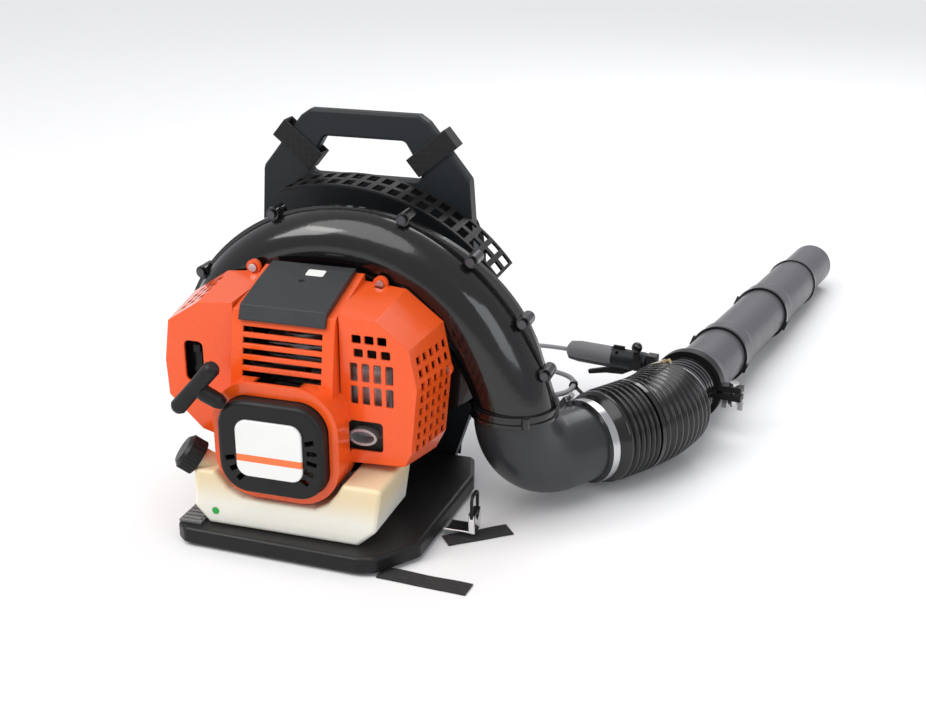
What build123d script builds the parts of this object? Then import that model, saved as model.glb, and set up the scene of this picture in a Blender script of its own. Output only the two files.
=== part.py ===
"""Backpack leaf blower, in millimetres, +Z up, floor at Z = 0.

X = 0 is the crank axis. +X is the blow tube side, -Y the engine side and +Y the wearer's back.
"""

import os
from math import cos, radians, sin

from build123d import *

os.makedirs("parts", exist_ok=True)

# Driving dimensions
CRANK_Z = 134  # height of the crank axis
SPLIT_Y = 20  # joint face between the fan case halves
WALL = 3  # moulded wall thickness
SLIP = 0.05  # radial clearance where one piece turns in another
SHAFT_R = 8
FAN_R = 100
DUCT_R = 48  # outside of the duct at the fan case outlet and elbow
TUBE_R = 39  # outside of the blower tubes
AIR_Z = 64  # height of the air duct at the bellows
BELLOWS_R = 60
FRAME_Y = 114  # front face of the back frame
FRAME_T = 18
BASE_TOP = 24
FOOT_H = 6
COVER_REAR_Y = -25
COVER_WALL = 3


def save(piece, name):
    """Names a piece and writes its STEP file."""
    piece.part.label = name
    export_step(piece.part, f"parts/{name}.step")


def turned(base, *profiles):
    """Solids of revolution about base's Z axis, each from a profile of (radius, height) points."""
    with BuildPart() as body:
        with BuildSketch(Plane(origin=base.origin, x_dir=base.x_dir, z_dir=-base.y_dir)):
            for profile in profiles:
                with BuildLine():
                    Polyline(*profile, close=True)
                make_face()
        revolve(axis=Axis(base.origin, base.z_dir))
    return body


def hoop(base, inner, outer, low, high):
    """A plain ring about base's Z axis."""
    return turned(base, [(inner, low), (outer, low), (outer, high), (inner, high)])


def block(low, high, edge=0.0):
    """A box between two corners, its edges rounded by edge."""
    size = [b - a for a, b in zip(low, high)]
    middle = tuple((a + b) / 2 for a, b in zip(low, high))
    with BuildPart() as body:
        with Locations(middle):
            Box(*size)
        if edge:
            fillet(body.edges(), edge)
    return body


def at_y(y):
    """Sketch plane facing the engine side at the given Y, with local axes X and Z."""
    return Plane.XZ.offset(-y)


CRANK = Plane(origin=(0, 0, CRANK_Z), x_dir=(1, 0, 0), z_dir=(0, 1, 0))

# ---------------------------------------------------------------- fan case
# angle from +X towards +Z, rim radius, duct radius
SCROLL = [
    (285, 110, 10),
    (225, 140, 22),
    (165, 203, 34),
    (113, 225, 39),
    (60, 247, 43),
    (15, 271, 47),
]
RIM_LIP = 4  # how far the flange stands out from the duct
FLANGE_T = 4  # flange thickness on each half
CASE_FRONT_Y = -4
CASE_REAR_Y = 44
CHAMBER_R = 106
OUTLET = (228, SPLIT_Y, 150)
CUTWATER = (183, 156)
INTAKE_R = 72
RIM_SCREW_ANGLES = [12, 26, 46, 67, 107, 140, 180, 215]


def polar(radius, angle):
    """Point in the fan plane, as (X, Z)."""
    return (radius * cos(radians(angle)), CRANK_Z + radius * sin(radians(angle)))


def rim_at(angle):
    """Rim radius at an angle, between the listed ones."""
    for (high, outer, _), (low, inner, _) in zip(SCROLL, SCROLL[1:]):
        if low <= angle <= high:
            return outer + (inner - outer) * (high - angle) / (high - low)
    return SCROLL[-1][1]


def scroll(inset):
    """The spiral duct and fan chamber, drawn in by inset on every side."""
    with BuildPart() as body:
        for angle, rim, duct in SCROLL:
            x, z = polar(rim - RIM_LIP - duct, angle)
            out = (cos(radians(angle)), 0, sin(radians(angle)))
            along = (sin(radians(angle)), 0, -cos(radians(angle)))
            with BuildSketch(Plane(origin=(x, SPLIT_Y, z), x_dir=out, z_dir=along)):
                Circle(duct - inset)
        with BuildSketch(Plane(origin=OUTLET, x_dir=(1, 0, 0), z_dir=(0, 0, -1))):
            Circle(DUCT_R - inset)
        loft()
        with BuildSketch(at_y(CASE_REAR_Y - inset)):
            with BuildLine():
                middle = [polar(rim - RIM_LIP - duct - inset, angle) for angle, rim, duct in SCROLL]
                spiral = Spline(*middle)
                Polyline(spiral @ 1, (CUTWATER[0], CUTWATER[1] + inset), spiral @ 0)
            make_face()
            with Locations((0, CRANK_Z)):
                Circle(CHAMBER_R - inset)
        extrude(amount=CASE_REAR_Y - CASE_FRONT_Y - 2 * inset)
    return body


outer_scroll = scroll(0)
inner_scroll = scroll(WALL)

with BuildPart() as fan_case:
    with BuildSketch(at_y(SPLIT_Y + FLANGE_T)):
        with BuildLine():
            rim = Spline(*[polar(radius, angle) for angle, radius, _ in SCROLL])
            foot = OUTLET[2]
            edge = OUTLET[0] + DUCT_R + RIM_LIP
            Polyline(rim @ 1, (edge, foot), (OUTLET[0] - DUCT_R - 2 * RIM_LIP, foot), rim @ 0)
        make_face()
    extrude(amount=2 * FLANGE_T)
    with BuildSketch(at_y(SPLIT_Y + 12)):
        with Locations(*[polar(rim_at(angle) + 2, angle) for angle in RIM_SCREW_ANGLES]):
            Circle(8)
    extrude(amount=24)
    add(outer_scroll.part)
    with BuildSketch(at_y(SPLIT_Y + 13)):
        with Locations(*[polar(rim_at(angle) + 2, angle) for angle in RIM_SCREW_ANGLES]):
            Circle(2.6)
    extrude(amount=26, mode=Mode.SUBTRACT)
    add(inner_scroll.part, mode=Mode.SUBTRACT)
    with Locations(OUTLET):
        Cylinder(DUCT_R - WALL, 20, mode=Mode.SUBTRACT)

with BuildPart() as fan_case_front:
    add(fan_case.part)
    split(bisect_by=Plane.XZ.offset(-SPLIT_Y), keep=Keep.TOP)
    add(hoop(CRANK, 0, 14, CASE_FRONT_Y - 1, 10).part, mode=Mode.SUBTRACT)
save(fan_case_front, "fan_case_front")

with BuildPart() as fan_case_rear:
    add(fan_case.part)
    split(bisect_by=Plane.XZ.offset(-SPLIT_Y), keep=Keep.BOTTOM)
    add(hoop(CRANK, 0, INTAKE_R, 36, CASE_REAR_Y + 1).part, mode=Mode.SUBTRACT)
save(fan_case_rear, "fan_case_rear")

# the cage that keeps leaves out of the gap behind the fan case
CAGE_R = 250
CAGE_T = 3
CAGE_LOW, CAGE_HIGH = 38, 108
CAGE_FRONT_Y = 50
CAGE_SLOTS = 16

with BuildPart() as intake_cage:
    with BuildSketch(at_y(FRAME_Y - 0.4)):
        with BuildLine():
            start, middle, end = (polar(CAGE_R, a) for a in (CAGE_LOW, 90, CAGE_HIGH))
            ThreePointArc(start, middle, end)
            inner = [polar(CAGE_R - CAGE_T, a) for a in (CAGE_HIGH, 90, CAGE_LOW)]
            Line(end, inner[0])
            ThreePointArc(*inner)
            Line(inner[2], start)
        make_face()
    extrude(amount=FRAME_Y - 0.4 - CAGE_FRONT_Y)
    step = (CAGE_HIGH - CAGE_LOW) / CAGE_SLOTS
    spots = []
    for number in range(CAGE_SLOTS):
        angle = CAGE_LOW + (number + 0.5) * step
        x, z = polar(CAGE_R, angle)
        spots += [Location((x, y, z), (0, -angle, 0)) for y in (66, 97)]
    with Locations(*spots):
        Box(12, 22, 12, mode=Mode.SUBTRACT)
save(intake_cage, "intake_cage")

# ---------------------------------------------------------------- fan and crank
WEB_R = 30
WEB_T = 8
PIN_THROW = 16
CRANK_MID_Y = -48
CASE_CAVITY_R = 33
FLYWHEEL_Y = -124

with BuildPart() as impeller:
    add(hoop(CRANK, 0, FAN_R, 4, 7).part)
    add(hoop(CRANK, 0, 18, 4, 34).part)
    for number in range(12):
        with Locations(Location((0, 20, CRANK_Z), (0, 30 * number, 0))):
            with Locations(Location((62, 0, 12), (0, 24, 0))):
                Box(72, 28, 2.6)
    add(hoop(CRANK, 0, SHAFT_R, 0, 40).part, mode=Mode.SUBTRACT)
save(impeller, "impeller")

with BuildPart() as crankshaft:
    add(hoop(CRANK, 0, SHAFT_R, -134, CRANK_MID_Y - 6).part)
    add(hoop(CRANK, 0, SHAFT_R, CRANK_MID_Y + 6, 36).part)
    add(hoop(CRANK, 0, WEB_R, CRANK_MID_Y - 6 - WEB_T, CRANK_MID_Y - 6).part)
    add(hoop(CRANK, 0, WEB_R, CRANK_MID_Y + 6, CRANK_MID_Y + 6 + WEB_T).part)
    throw = Plane(origin=(0, 0, CRANK_Z + PIN_THROW), x_dir=(1, 0, 0), z_dir=(0, 1, 0))
    add(hoop(throw, 0, 7, CRANK_MID_Y - 7, CRANK_MID_Y + 7).part)
save(crankshaft, "crankshaft")

with BuildPart() as flywheel:
    add(hoop(CRANK, SHAFT_R, 16, FLYWHEEL_Y, FLYWHEEL_Y + 14).part)
    add(hoop(CRANK, SHAFT_R, 44, FLYWHEEL_Y + 4, FLYWHEEL_Y + 8).part)
    add(hoop(CRANK, 38, 46, FLYWHEEL_Y, FLYWHEEL_Y + 14).part)
    for number in range(10):
        with Locations(Location((0, FLYWHEEL_Y + 4, CRANK_Z), (0, 36 * number, 0))):
            with Locations((28, -2, 0)):
                Box(18, 4, 2.4)
save(flywheel, "flywheel")

CYLINDER_BASE_Z = CRANK_Z + 46
CYLINDER_TOP_Z = 240
BORE_R = 20

with BuildPart() as crankcase:
    add(hoop(CRANK, 0, 44, -80, -10).part)
    add(hoop(CRANK, 0, 62, -14, CASE_FRONT_Y - 0.1).part)
    add(block((-32, -80, CRANK_Z), (32, -16, CYLINDER_BASE_Z)).part)
    add(hoop(CRANK, 0, CASE_CAVITY_R, -66, -30).part, mode=Mode.SUBTRACT)
    add(hoop(CRANK, 0, SHAFT_R + SLIP, -90, 0).part, mode=Mode.SUBTRACT)
    with Locations((0, CRANK_MID_Y, CRANK_Z + 30)):
        Cylinder(BORE_R, 40, mode=Mode.SUBTRACT)
save(crankcase, "crankcase")

with BuildPart() as cylinder:
    with BuildSketch(Plane.XY.offset(CYLINDER_BASE_Z + 0.1)):
        with Locations((0, CRANK_MID_Y)):
            Circle(28)
    extrude(amount=CYLINDER_TOP_Z - CYLINDER_BASE_Z)
    for number in range(8):
        with BuildSketch(Plane.XY.offset(CYLINDER_BASE_Z + 3 + 7.4 * number)):
            with Locations((0, CRANK_MID_Y)):
                RectangleRounded(82, 66, 12)
        extrude(amount=2.2)
    with BuildSketch(Plane.XY.offset(CYLINDER_BASE_Z)):
        with Locations((0, CRANK_MID_Y)):
            Circle(BORE_R)
    extrude(amount=CYLINDER_TOP_Z - CYLINDER_BASE_Z - 10, mode=Mode.SUBTRACT)
save(cylinder, "cylinder")

PLUG = Plane(origin=(0, CRANK_MID_Y, CYLINDER_TOP_Z), z_dir=(0, 0, 1))

with BuildPart() as spark_plug:
    add(hoop(PLUG, 0, 5, 0.3, 26).part)
    with BuildSketch(Plane.XY.offset(CYLINDER_TOP_Z + 0.3)):
        with Locations((0, CRANK_MID_Y)):
            RegularPolygon(9, 6)
    extrude(amount=7)
save(spark_plug, "spark_plug")

with BuildPart() as plug_boot:
    add(turned(PLUG, [(5.2, 9), (9, 9), (8, 33), (0, 33), (0, 27), (5.2, 27)]).part)
    with Locations(Location((-9, CRANK_MID_Y, CYLINDER_TOP_Z + 28), (0, 90, 0))):
        Cylinder(4.5, 12)
    add(hoop(PLUG, 0, 5.2, 8, 27).part, mode=Mode.SUBTRACT)
save(block((-22, -108, 196), (22, -92, 216), 3), "ignition_coil")

with BuildPart() as plug_lead:
    add(plug_boot.part)
    with BuildLine() as route:
        points = [
            (-15.2, CRANK_MID_Y, 268),
            (-44, CRANK_MID_Y, 268),
            (-52, -92, 250),
            (-52, -100, 206),
            (-22.3, -100, 206),
        ]
        FilletPolyline(*points, radius=9)
    with BuildSketch(Plane(origin=route.wires()[0] @ 0, z_dir=route.wires()[0] % 0)):
        Circle(3)
    sweep()
save(plug_lead, "plug_lead")

# ---------------------------------------------------------------- exhaust and intake
VENT_X, VENT_Z = 90, 141

# can, oval outlet and heat plate
with BuildPart() as muffler:
    add(block((54, -98, 128), (118, -28, 222), 8).part)
    add(block((41.2, -66, 196), (56, -40, 214)).part)
    with BuildSketch(at_y(-98.2)):
        with Locations((VENT_X, VENT_Z)):
            Ellipse(17, 10)
            Ellipse(14, 7, mode=Mode.SUBTRACT)
    extrude(amount=16)
    with BuildSketch(at_y(-100)):
        with Locations((VENT_X, VENT_Z)):
            RectangleRounded(58, 44, 6)
            Ellipse(18, 11, mode=Mode.SUBTRACT)
    extrude(amount=1.5)
save(muffler, "muffler")

with BuildPart() as carburettor:
    add(block((-90, -76, 180), (-50, -40, 212), 4).part)
    with Locations(Location((-66, -58, 196), (0, 90, 0))):
        Cylinder(14, 56)
        Cylinder(9, 70, mode=Mode.SUBTRACT)
    with Locations((0, CRANK_MID_Y, 210)):
        Box(82.2, 66.2, 76, mode=Mode.SUBTRACT)
save(carburettor, "carburettor")

CHOKE = (-117, -90, 192)
CHOKE_PIVOT = Plane(origin=CHOKE, x_dir=(1, 0, 0), z_dir=(0, -1, 0))

with BuildPart() as air_filter:
    add(block((-146, -92, 152), (-94.4, -26, 254), 8).part)
    add(hoop(CHOKE_PIVOT, 0, 3 + SLIP, -6, 4).part, mode=Mode.SUBTRACT)
save(air_filter, "air_filter")

with BuildPart() as choke_lever:
    add(hoop(CHOKE_PIVOT, 0, 3, -5.5, 8).part)
    add(hoop(CHOKE_PIVOT, 0, 6.5, 6, 9).part)
    add(block((-121, -99, 192), (-113, -96, 222)).part)
    add(block((-122, -103, 214), (-112, -96, 224), 1.5).part)
save(choke_lever, "choke_lever")

with BuildPart() as fuel_line:
    with BuildLine() as route:
        FilletPolyline((-70, -70, 98.3), (-70, -70, 140), (-76, -58, 150), (-76, -58, 179.6), radius=8)
    with BuildSketch(Plane(origin=route.wires()[0] @ 0, z_dir=route.wires()[0] % 0)):
        Circle(3)
    sweep()
save(fuel_line, "fuel_line")

# ---------------------------------------------------------------- engine cover
LOBE_W, LOBE_H = 152, 140
LOBE_FRONT_Y = -150
POD_FRONT_Y = -110
SIDE_PROFILE = [
    (COVER_REAR_Y, 100),
    (COVER_REAR_Y, 303),
    (-112, 277),
    (-117, 264),
    (-131, 184),
    (-138, 176),
    (-138, 100),
]
RIGHT_POD = [(52, 296), (112, 290), (156, 256), (166, 205), (158, 122), (146, 98), (52, 94)]
LEFT_POD = [(-52, 296), (-112, 290), (-158, 260), (-166, 205), (-164, 156), (-118, 112), (-52, 94)]
POD_TAPER = 8
LOUVRES = 6
LOUVRE_LOW_Z, LOUVRE_PITCH = 190, 12.5
TABS = [(-76, 299), (82, 294), (159, 200)]


def cover_shape(inset):
    """The outside of the engine cover, drawn in by inset on every side but the open rear."""
    with BuildPart() as body:
        with BuildSketch(Plane.YZ.offset(-62 + inset)):
            with BuildLine():
                Polyline(*SIDE_PROFILE, close=True)
            make_face()
            if inset:
                offset(amount=-inset)
        extrude(amount=2 * (62 - inset))
        with BuildSketch(at_y(-100)):
            with Locations((0, CRANK_Z + 2)):
                RectangleRounded(LOBE_W - 2 * inset, LOBE_H - 2 * inset, 50 - inset)
        extrude(amount=-LOBE_FRONT_Y - 100 - inset)
        for pod in (RIGHT_POD, LEFT_POD):
            with BuildSketch(at_y(COVER_REAR_Y)):
                with BuildLine():
                    Polyline(*pod, close=True)
                make_face()
                if inset:
                    offset(amount=-inset)
            extrude(amount=COVER_REAR_Y - POD_FRONT_Y - inset, taper=POD_TAPER)
    return body


STARTER_W, STARTER_H = 128, 112

with BuildPart() as engine_cover:
    add(cover_shape(0).part)
    add(cover_shape(COVER_WALL).part, mode=Mode.SUBTRACT)
    # open bottom, open rear, ways from the middle into the side pods, fuel line hole
    cuts = [
        ((-58, -98, 80), (58, 0, 105)),
        ((-60, -30, 60), (60, 0, 290)),
        ((-82, -106, 116), (-50, -24, 262)),
        ((50, -106, 108), (82, -24, 262)),
        ((-78, -78, 90), (-62, -62, 130)),
    ]
    for low, high in cuts:
        add(block(low, high).part, mode=Mode.SUBTRACT)
    # open rear
    with BuildSketch(at_y(COVER_REAR_Y + 1)):
        with BuildLine():
            Polyline(*LEFT_POD[1:6], *reversed(RIGHT_POD[1:6]), close=True)
        make_face()
        offset(amount=-COVER_WALL)
    extrude(amount=8, mode=Mode.SUBTRACT)
    # starter opening
    with BuildSketch(at_y(-90)):
        with Locations((0, CRANK_Z)):
            RectangleRounded(STARTER_W + 1.6, STARTER_H + 1.6, 34)
    extrude(amount=80, mode=Mode.SUBTRACT)
    # louvres
    with Locations(*[(0, -125, LOUVRE_LOW_Z + 4 + number * LOUVRE_PITCH) for number in range(LOUVRES)]):
        Box(96, 40, 7, mode=Mode.SUBTRACT)
    # left window and right exhaust window
    with BuildSketch(at_y(-98)):
        with Locations((-117, 206)):
            RectangleRounded(24, 50, 7)
        with Locations((VENT_X, VENT_Z)):
            RectangleRounded(46, 36, 5)
    extrude(amount=20, mode=Mode.SUBTRACT)
    # right front grid: short openings over tall ones
    for column in range(4):
        with BuildSketch(at_y(-98)):
            with Locations((80 + 14 * column, 217), (80 + 14 * column, 190)):
                RectangleRounded(9, 22, 2)
    for column in range(3):
        with BuildSketch(at_y(-98)):
            with Locations((86 + 16 * column, 240), (84 + 15 * column, 256)):
                RectangleRounded(11, 10, 2)
    extrude(amount=20, mode=Mode.SUBTRACT)
    # right side grid
    with Locations(*[(158, -94 + 15 * column, 128 + 15 * row) for row in range(8) for column in range(5)]):
        Box(44, 9, 9, mode=Mode.SUBTRACT)
    # left top grille
    with Locations(*[(-112 - 12 * row, -90 + 15 * column, 280) for row in range(3) for column in range(4)]):
        Box(7, 10, 60, mode=Mode.SUBTRACT)
    # screw tabs
    with BuildSketch(at_y(COVER_REAR_Y)):
        with Locations(*TABS):
            Circle(9)
    extrude(amount=5)
    with BuildSketch(at_y(COVER_REAR_Y + 1)):
        with Locations(*TABS):
            Circle(2.6)
    extrude(amount=8, mode=Mode.SUBTRACT)
    with BuildSketch(at_y(COVER_REAR_Y - 5)):
        with Locations(*TABS):
            Circle(6)
    extrude(amount=7, mode=Mode.SUBTRACT)
save(engine_cover, "engine_cover")

CAP_HALF_W = 52
CAP_SCREW = (0, -62)

with BuildPart() as top_cap:
    with BuildSketch(Plane.YZ.offset(-CAP_HALF_W)):
        with BuildLine():
            top = [(-27, 309), (-66, 299), (-114, 284), (-121, 268)]
            under = [(-117.2, 266.5), (-112.1, 277.4), (-27, 302.8)]
            Polyline(*top, *under, close=True)
        make_face()
    extrude(amount=2 * CAP_HALF_W)
    with Locations((CAP_SCREW[0], CAP_SCREW[1], 300)):
        Cylinder(3.2, 40, mode=Mode.SUBTRACT)
save(top_cap, "top_cap")

with BuildPart() as housing_screws:
    rim_spots = [polar(rim_at(angle) + 2, angle) for angle in RIM_SCREW_ANGLES]
    for y, spots, shank, head in ((SPLIT_Y - 12.1, rim_spots, 20, 4.5), (COVER_REAR_Y - 5.1, TABS, 5, 3.2)):
        with BuildSketch(at_y(y)):
            with Locations(*spots):
                Circle(2.4)
        extrude(amount=-shank)
        with BuildSketch(at_y(y)):
            with Locations(*spots):
                Circle(5)
        extrude(amount=head)
    with Locations((CAP_SCREW[0], CAP_SCREW[1], 297)):
        Cylinder(3, 3)
save(housing_screws, "housing_screws")

# ---------------------------------------------------------------- recoil starter
HOUSING_FRONT_Y = -166
HOUSING_REAR_Y = -130
ROPE_EXIT = Vector(-52, -162, 181)
PULL = Vector(-0.68, -0.42, 0.6).normalized()
ROPE_R = 1.8
PULL_PLANE = Plane(origin=ROPE_EXIT, x_dir=(0.666, 0, 0.746), z_dir=PULL)

with BuildPart() as starter_housing:
    with BuildSketch(at_y(HOUSING_REAR_Y)):
        with Locations((0, CRANK_Z)):
            RectangleRounded(STARTER_W, STARTER_H, 34)
    extrude(amount=HOUSING_REAR_Y - HOUSING_FRONT_Y)
    fillet(starter_housing.faces().sort_by(Axis.Y)[0].edges(), 6)
    with BuildSketch(at_y(HOUSING_REAR_Y)):
        with Locations((0, CRANK_Z)):
            RectangleRounded(STARTER_W - 6, STARTER_H - 6, 31)
    extrude(amount=HOUSING_REAR_Y - HOUSING_FRONT_Y - WALL, mode=Mode.SUBTRACT)
    add(hoop(CRANK, 0, 6, HOUSING_FRONT_Y + 1, -137).part)
    slots = [Location((0, HOUSING_FRONT_Y, CRANK_Z), (0, -a, 0)) for a in (-38, -24, -10, 4, 18, 196, 210, 224)]
    with Locations(*slots):
        with Locations((51, 0, 0)):
            Box(12, 16, 6, mode=Mode.SUBTRACT)
    add(hoop(PULL_PLANE, 0, 2.6, -30, 12).part, mode=Mode.SUBTRACT)
save(starter_housing, "starter_housing")

PULLEY_R = 22

with BuildPart() as recoil_pulley:
    rim_y = -150
    profile = [
        (6 + SLIP, rim_y),
        (24, rim_y),
        (24, rim_y + 3),
        (PULLEY_R, rim_y + 5),
        (PULLEY_R, rim_y + 7),
        (24, rim_y + 9),
        (24, rim_y + 12),
        (6 + SLIP, rim_y + 12),
    ]
    add(turned(CRANK, profile).part)
save(recoil_pulley, "recoil_pulley")

with BuildPart() as starter_badge:
    with BuildSketch(at_y(HOUSING_FRONT_Y - 0.1)):
        with Locations((0, CRANK_Z + 1)):
            RectangleRounded(80, 68, 14)
    extrude(amount=3)
    fillet(starter_badge.faces().sort_by(Axis.Y)[0].edges(), 1.5)
save(starter_badge, "starter_badge")

with BuildPart() as starter_rope:
    add(hoop(PULL_PLANE, 0, ROPE_R, -26, 16).part)
save(starter_rope, "starter_rope")

GRIP_OUT = 40  # neck length from the rope exit to the crossbar

with BuildPart() as starter_grip:
    neck = [(0, 3), (6.5, 3), (9, 10), (9.5, 28), (7.5, GRIP_OUT), (0, GRIP_OUT)]
    add(turned(PULL_PLANE, neck).part)
    across = Plane(
        origin=ROPE_EXIT + PULL * GRIP_OUT, x_dir=PULL, z_dir=PULL_PLANE.x_dir
    )
    bar = [(0, -38), (7, -38), (9.5, -34), (9, 0), (9.5, 34), (7, 38), (0, 38)]
    add(turned(across, bar).part)
    add(hoop(PULL_PLANE, 0, 2.1, 1, 18).part, mode=Mode.SUBTRACT)
save(starter_grip, "starter_grip")

# ---------------------------------------------------------------- fuel tank
NECK = Plane(origin=(-92, -128, 84), x_dir=(0, -1, 0), z_dir=(-0.72, -0.34, 0.6))

with BuildPart() as fuel_tank:
    with BuildSketch(at_y(-56)):
        with BuildLine():
            outline = [
                (-88, BASE_TOP + 0.5),
                (96, BASE_TOP + 0.5),
                (118, 44),
                (126, 98),
                (80, 98),
                (73, 86),
                (61, 71),
                (44, 62),
                (-44, 62),
                (-61, 71),
                (-73, 86),
                (-78, 92),
                (-104, 92),
                (-106, 44),
            ]
            Polyline(*outline, close=True)
        make_face()
    extrude(amount=98)
    fillet(fuel_tank.edges().filter_by(Axis.Y), 5)
    fillet(fuel_tank.faces().sort_by(Axis.Y)[0].edges(), 5)
    add(hoop(NECK, 0, 15, -4, 32).part)
    add(block((-78, -76, 55), (-62, -64, 98)).part)
save(fuel_tank, "fuel_tank")

with BuildPart() as fuel_cap:
    add(turned(NECK, [(0, 32.2), (15.3, 32.2), (15.3, 20), (20, 20), (20, 38), (16, 42), (0, 42)]).part)
    for number in range(24):
        angle = radians(15 * number)
        with Locations(NECK):
            with Locations((20 * cos(angle), 20 * sin(angle), 29)):
                Cylinder(1.2, 17)
save(fuel_cap, "fuel_cap")

# ---------------------------------------------------------------- base and back frame
BASE_OUTLINE = [
    (-112, -172),
    (104, -178),
    (124, -172),
    (160, -122),
    (166, 60),
    (150, FRAME_Y - 0.4),
    (-118, FRAME_Y - 0.4),
    (-130, 60),
    (-130, -96),
    (-126, -160),
]
FEET = [(-96, -150), (100, -152), (-90, 90), (126, 90)]

with BuildPart() as base_frame:
    with BuildSketch(Plane.XY.offset(FOOT_H)) as footprint:
        with BuildLine():
            Polyline(*BASE_OUTLINE, close=True)
        make_face()
        fillet(footprint.vertices(), 10)
    extrude(amount=BASE_TOP - FOOT_H)
    fillet(base_frame.faces().sort_by(Axis.Z)[-1].edges(), 5)
    # trough under the fan case
    add(block((-92, -8, 12), (60, 48, 30)).part, mode=Mode.SUBTRACT)
save(base_frame, "base_frame")

with BuildPart() as rubber_feet:
    for x, y in FEET:
        with Locations((x, y, 0)):
            Cylinder(10, FOOT_H, align=(Align.CENTER, Align.CENTER, Align.MIN))
    with Locations((0, 0, 0)):
        Box(60, 60, FOOT_H, align=(Align.CENTER, Align.CENTER, Align.MIN))
save(rubber_feet, "rubber_feet")

with BuildPart() as step_pad:
    add(block((-124, -160, BASE_TOP + 0.1), (-96, -88, BASE_TOP + 3)).part)
    for number in range(9):
        y = -156 + 8 * number
        add(block((-122, y, BASE_TOP + 2.9), (-98, y + 4, BASE_TOP + 5)).part)
save(step_pad, "step_pad")

FRAME_MID_X = 8
FRAME_HALF = [
    (110, FOOT_H),
    (138, 90),
    (140, 300),
    (134, 385),
    (82, 450),
    (70, 458),
]
GRIP_HOLE = [(80, 379), (52, 426)]


def mirrored(points):
    """Points right of the frame's middle, then the same on the left, in order."""
    right = [(FRAME_MID_X + x, z) for x, z in points]
    left = [(FRAME_MID_X - x, z) for x, z in reversed(points)]
    return right + left


with BuildPart() as back_frame:
    with BuildSketch(at_y(FRAME_Y + FRAME_T)):
        with BuildLine():
            Polyline(*mirrored(FRAME_HALF), close=True)
        make_face()
        with BuildSketch(mode=Mode.SUBTRACT) as grip_hole:
            with BuildLine():
                Polyline(*mirrored(GRIP_HOLE), close=True)
            make_face()
            fillet(grip_hole.vertices(), 9)
    extrude(amount=FRAME_T)
    rails = back_frame.faces().filter_by(Axis.Y)
    chamfer(rails.edges().filter_by_position(Axis.Z, 370, 470), 2.5)
    # stiffening recesses on the engine side
    for x in (-70, 86):
        with Locations((x, FRAME_Y + 4, 190)):
            Box(70, 8.1, 200, mode=Mode.SUBTRACT)
save(back_frame, "back_frame")

STRUT_LEAN = 39.5

MOUNT_SPOTS = [(-70, 96), (70, 96), (8, 250)]

with BuildPart() as vibration_mounts:
    for x, z in MOUNT_SPOTS:
        with BuildSketch(at_y(FRAME_Y - 0.1)):
            with Locations((x, z)):
                Circle(13)
        extrude(amount=FRAME_Y - 0.1 - CASE_REAR_Y - 0.1)
save(vibration_mounts, "vibration_mounts")

with BuildPart() as anchor_bracket:
    add(block((163.8, -58, 8), (204, -34, 11), 1).part)
    add(block((196, -58, 8), (204, -34, 34), 1).part)
    with Locations(Location((200, -46, 26), (0, 90, 0))):
        Cylinder(4, 20, mode=Mode.SUBTRACT)

with BuildPart() as anchor_loop:
    with BuildSketch(Plane(origin=(198.6, -46, 40), x_dir=(0, 1, 0), z_dir=(1, 0, 0))):
        RectangleRounded(26, 34, 8)
        RectangleRounded(19, 27, 5, mode=Mode.SUBTRACT)
    extrude(amount=3)
    with Locations((198.6, -46, 20)):
        Box(8, 30, 14, mode=Mode.SUBTRACT)

with BuildPart() as anchor:
    add(anchor_bracket.part)
    add(anchor_loop.part)
save(anchor, "anchor")

# ---------------------------------------------------------------- harness
with BuildPart() as back_pad:
    with BuildSketch(at_y(FRAME_Y + FRAME_T + 22)):
        with Locations((FRAME_MID_X, 205)):
            RectangleRounded(160, 220, 34)
    extrude(amount=21.7)
    fillet(back_pad.faces().sort_by(Axis.Y)[-1].edges(), 8)
save(back_pad, "back_pad")

STRAP_W = 54
STRAP_T = 12
STRAP_LINE = [(150, 326), (196, 292), (214, 220), (204, 140), (168, 84)]

STRAP_OUT = 104
STRAP_X = [FRAME_MID_X - STRAP_OUT, FRAME_MID_X + STRAP_OUT]

with BuildPart() as shoulder_straps:
    for x in STRAP_X:
        with BuildLine(Plane(origin=(x, 0, 0), x_dir=(0, 1, 0), z_dir=(1, 0, 0))):
            face_line = Spline(*STRAP_LINE)
        with BuildSketch(Plane(origin=face_line @ 0, x_dir=(1, 0, 0), z_dir=face_line % 0)):
            RectangleRounded(STRAP_W, STRAP_T, 5)
        sweep()
save(shoulder_straps, "shoulder_straps")

with BuildPart() as strap_buckles:
    for side in (-1, 1):
        x = FRAME_MID_X + side * STRAP_OUT
        place = Location((x, 160, 70), (-32.7, 0, 0))
        with Locations(place):
            Box(40, 5, 30)
            Box(30, 8, 5, mode=Mode.SUBTRACT)
save(strap_buckles, "strap_buckles")

with BuildPart() as harness_webbing:
    for side in (-1, 1):
        place = Location(
            (FRAME_MID_X + side * 87, FRAME_Y + FRAME_T / 2, 414), (0, -side * STRUT_LEAN, 0)
        )
        with Locations(place):
            Box(64, FRAME_T + 7, 26)
            Box(58, FRAME_T + 1, 30, mode=Mode.SUBTRACT)
    for x in STRAP_X:
        rear = FRAME_Y + FRAME_T + 0.2
        add(block((x - 20, rear, 326), (x + 20, 146, 329)).part)
        add(block((x - 20, rear, 300), (x + 20, rear + 3, 329)).part)
        with BuildLine(Plane(origin=(x, 0, 0), x_dir=(0, 1, 0), z_dir=(1, 0, 0))):
            run = FilletPolyline((147, 54), (141, 38), (rear + 1.5, 14), radius=12)
        with BuildSketch(Plane(origin=run @ 0, x_dir=(1, 0, 0), z_dir=run % 0)):
            Rectangle(25, 1.6)
        sweep()
save(harness_webbing, "harness_webbing")

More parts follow.
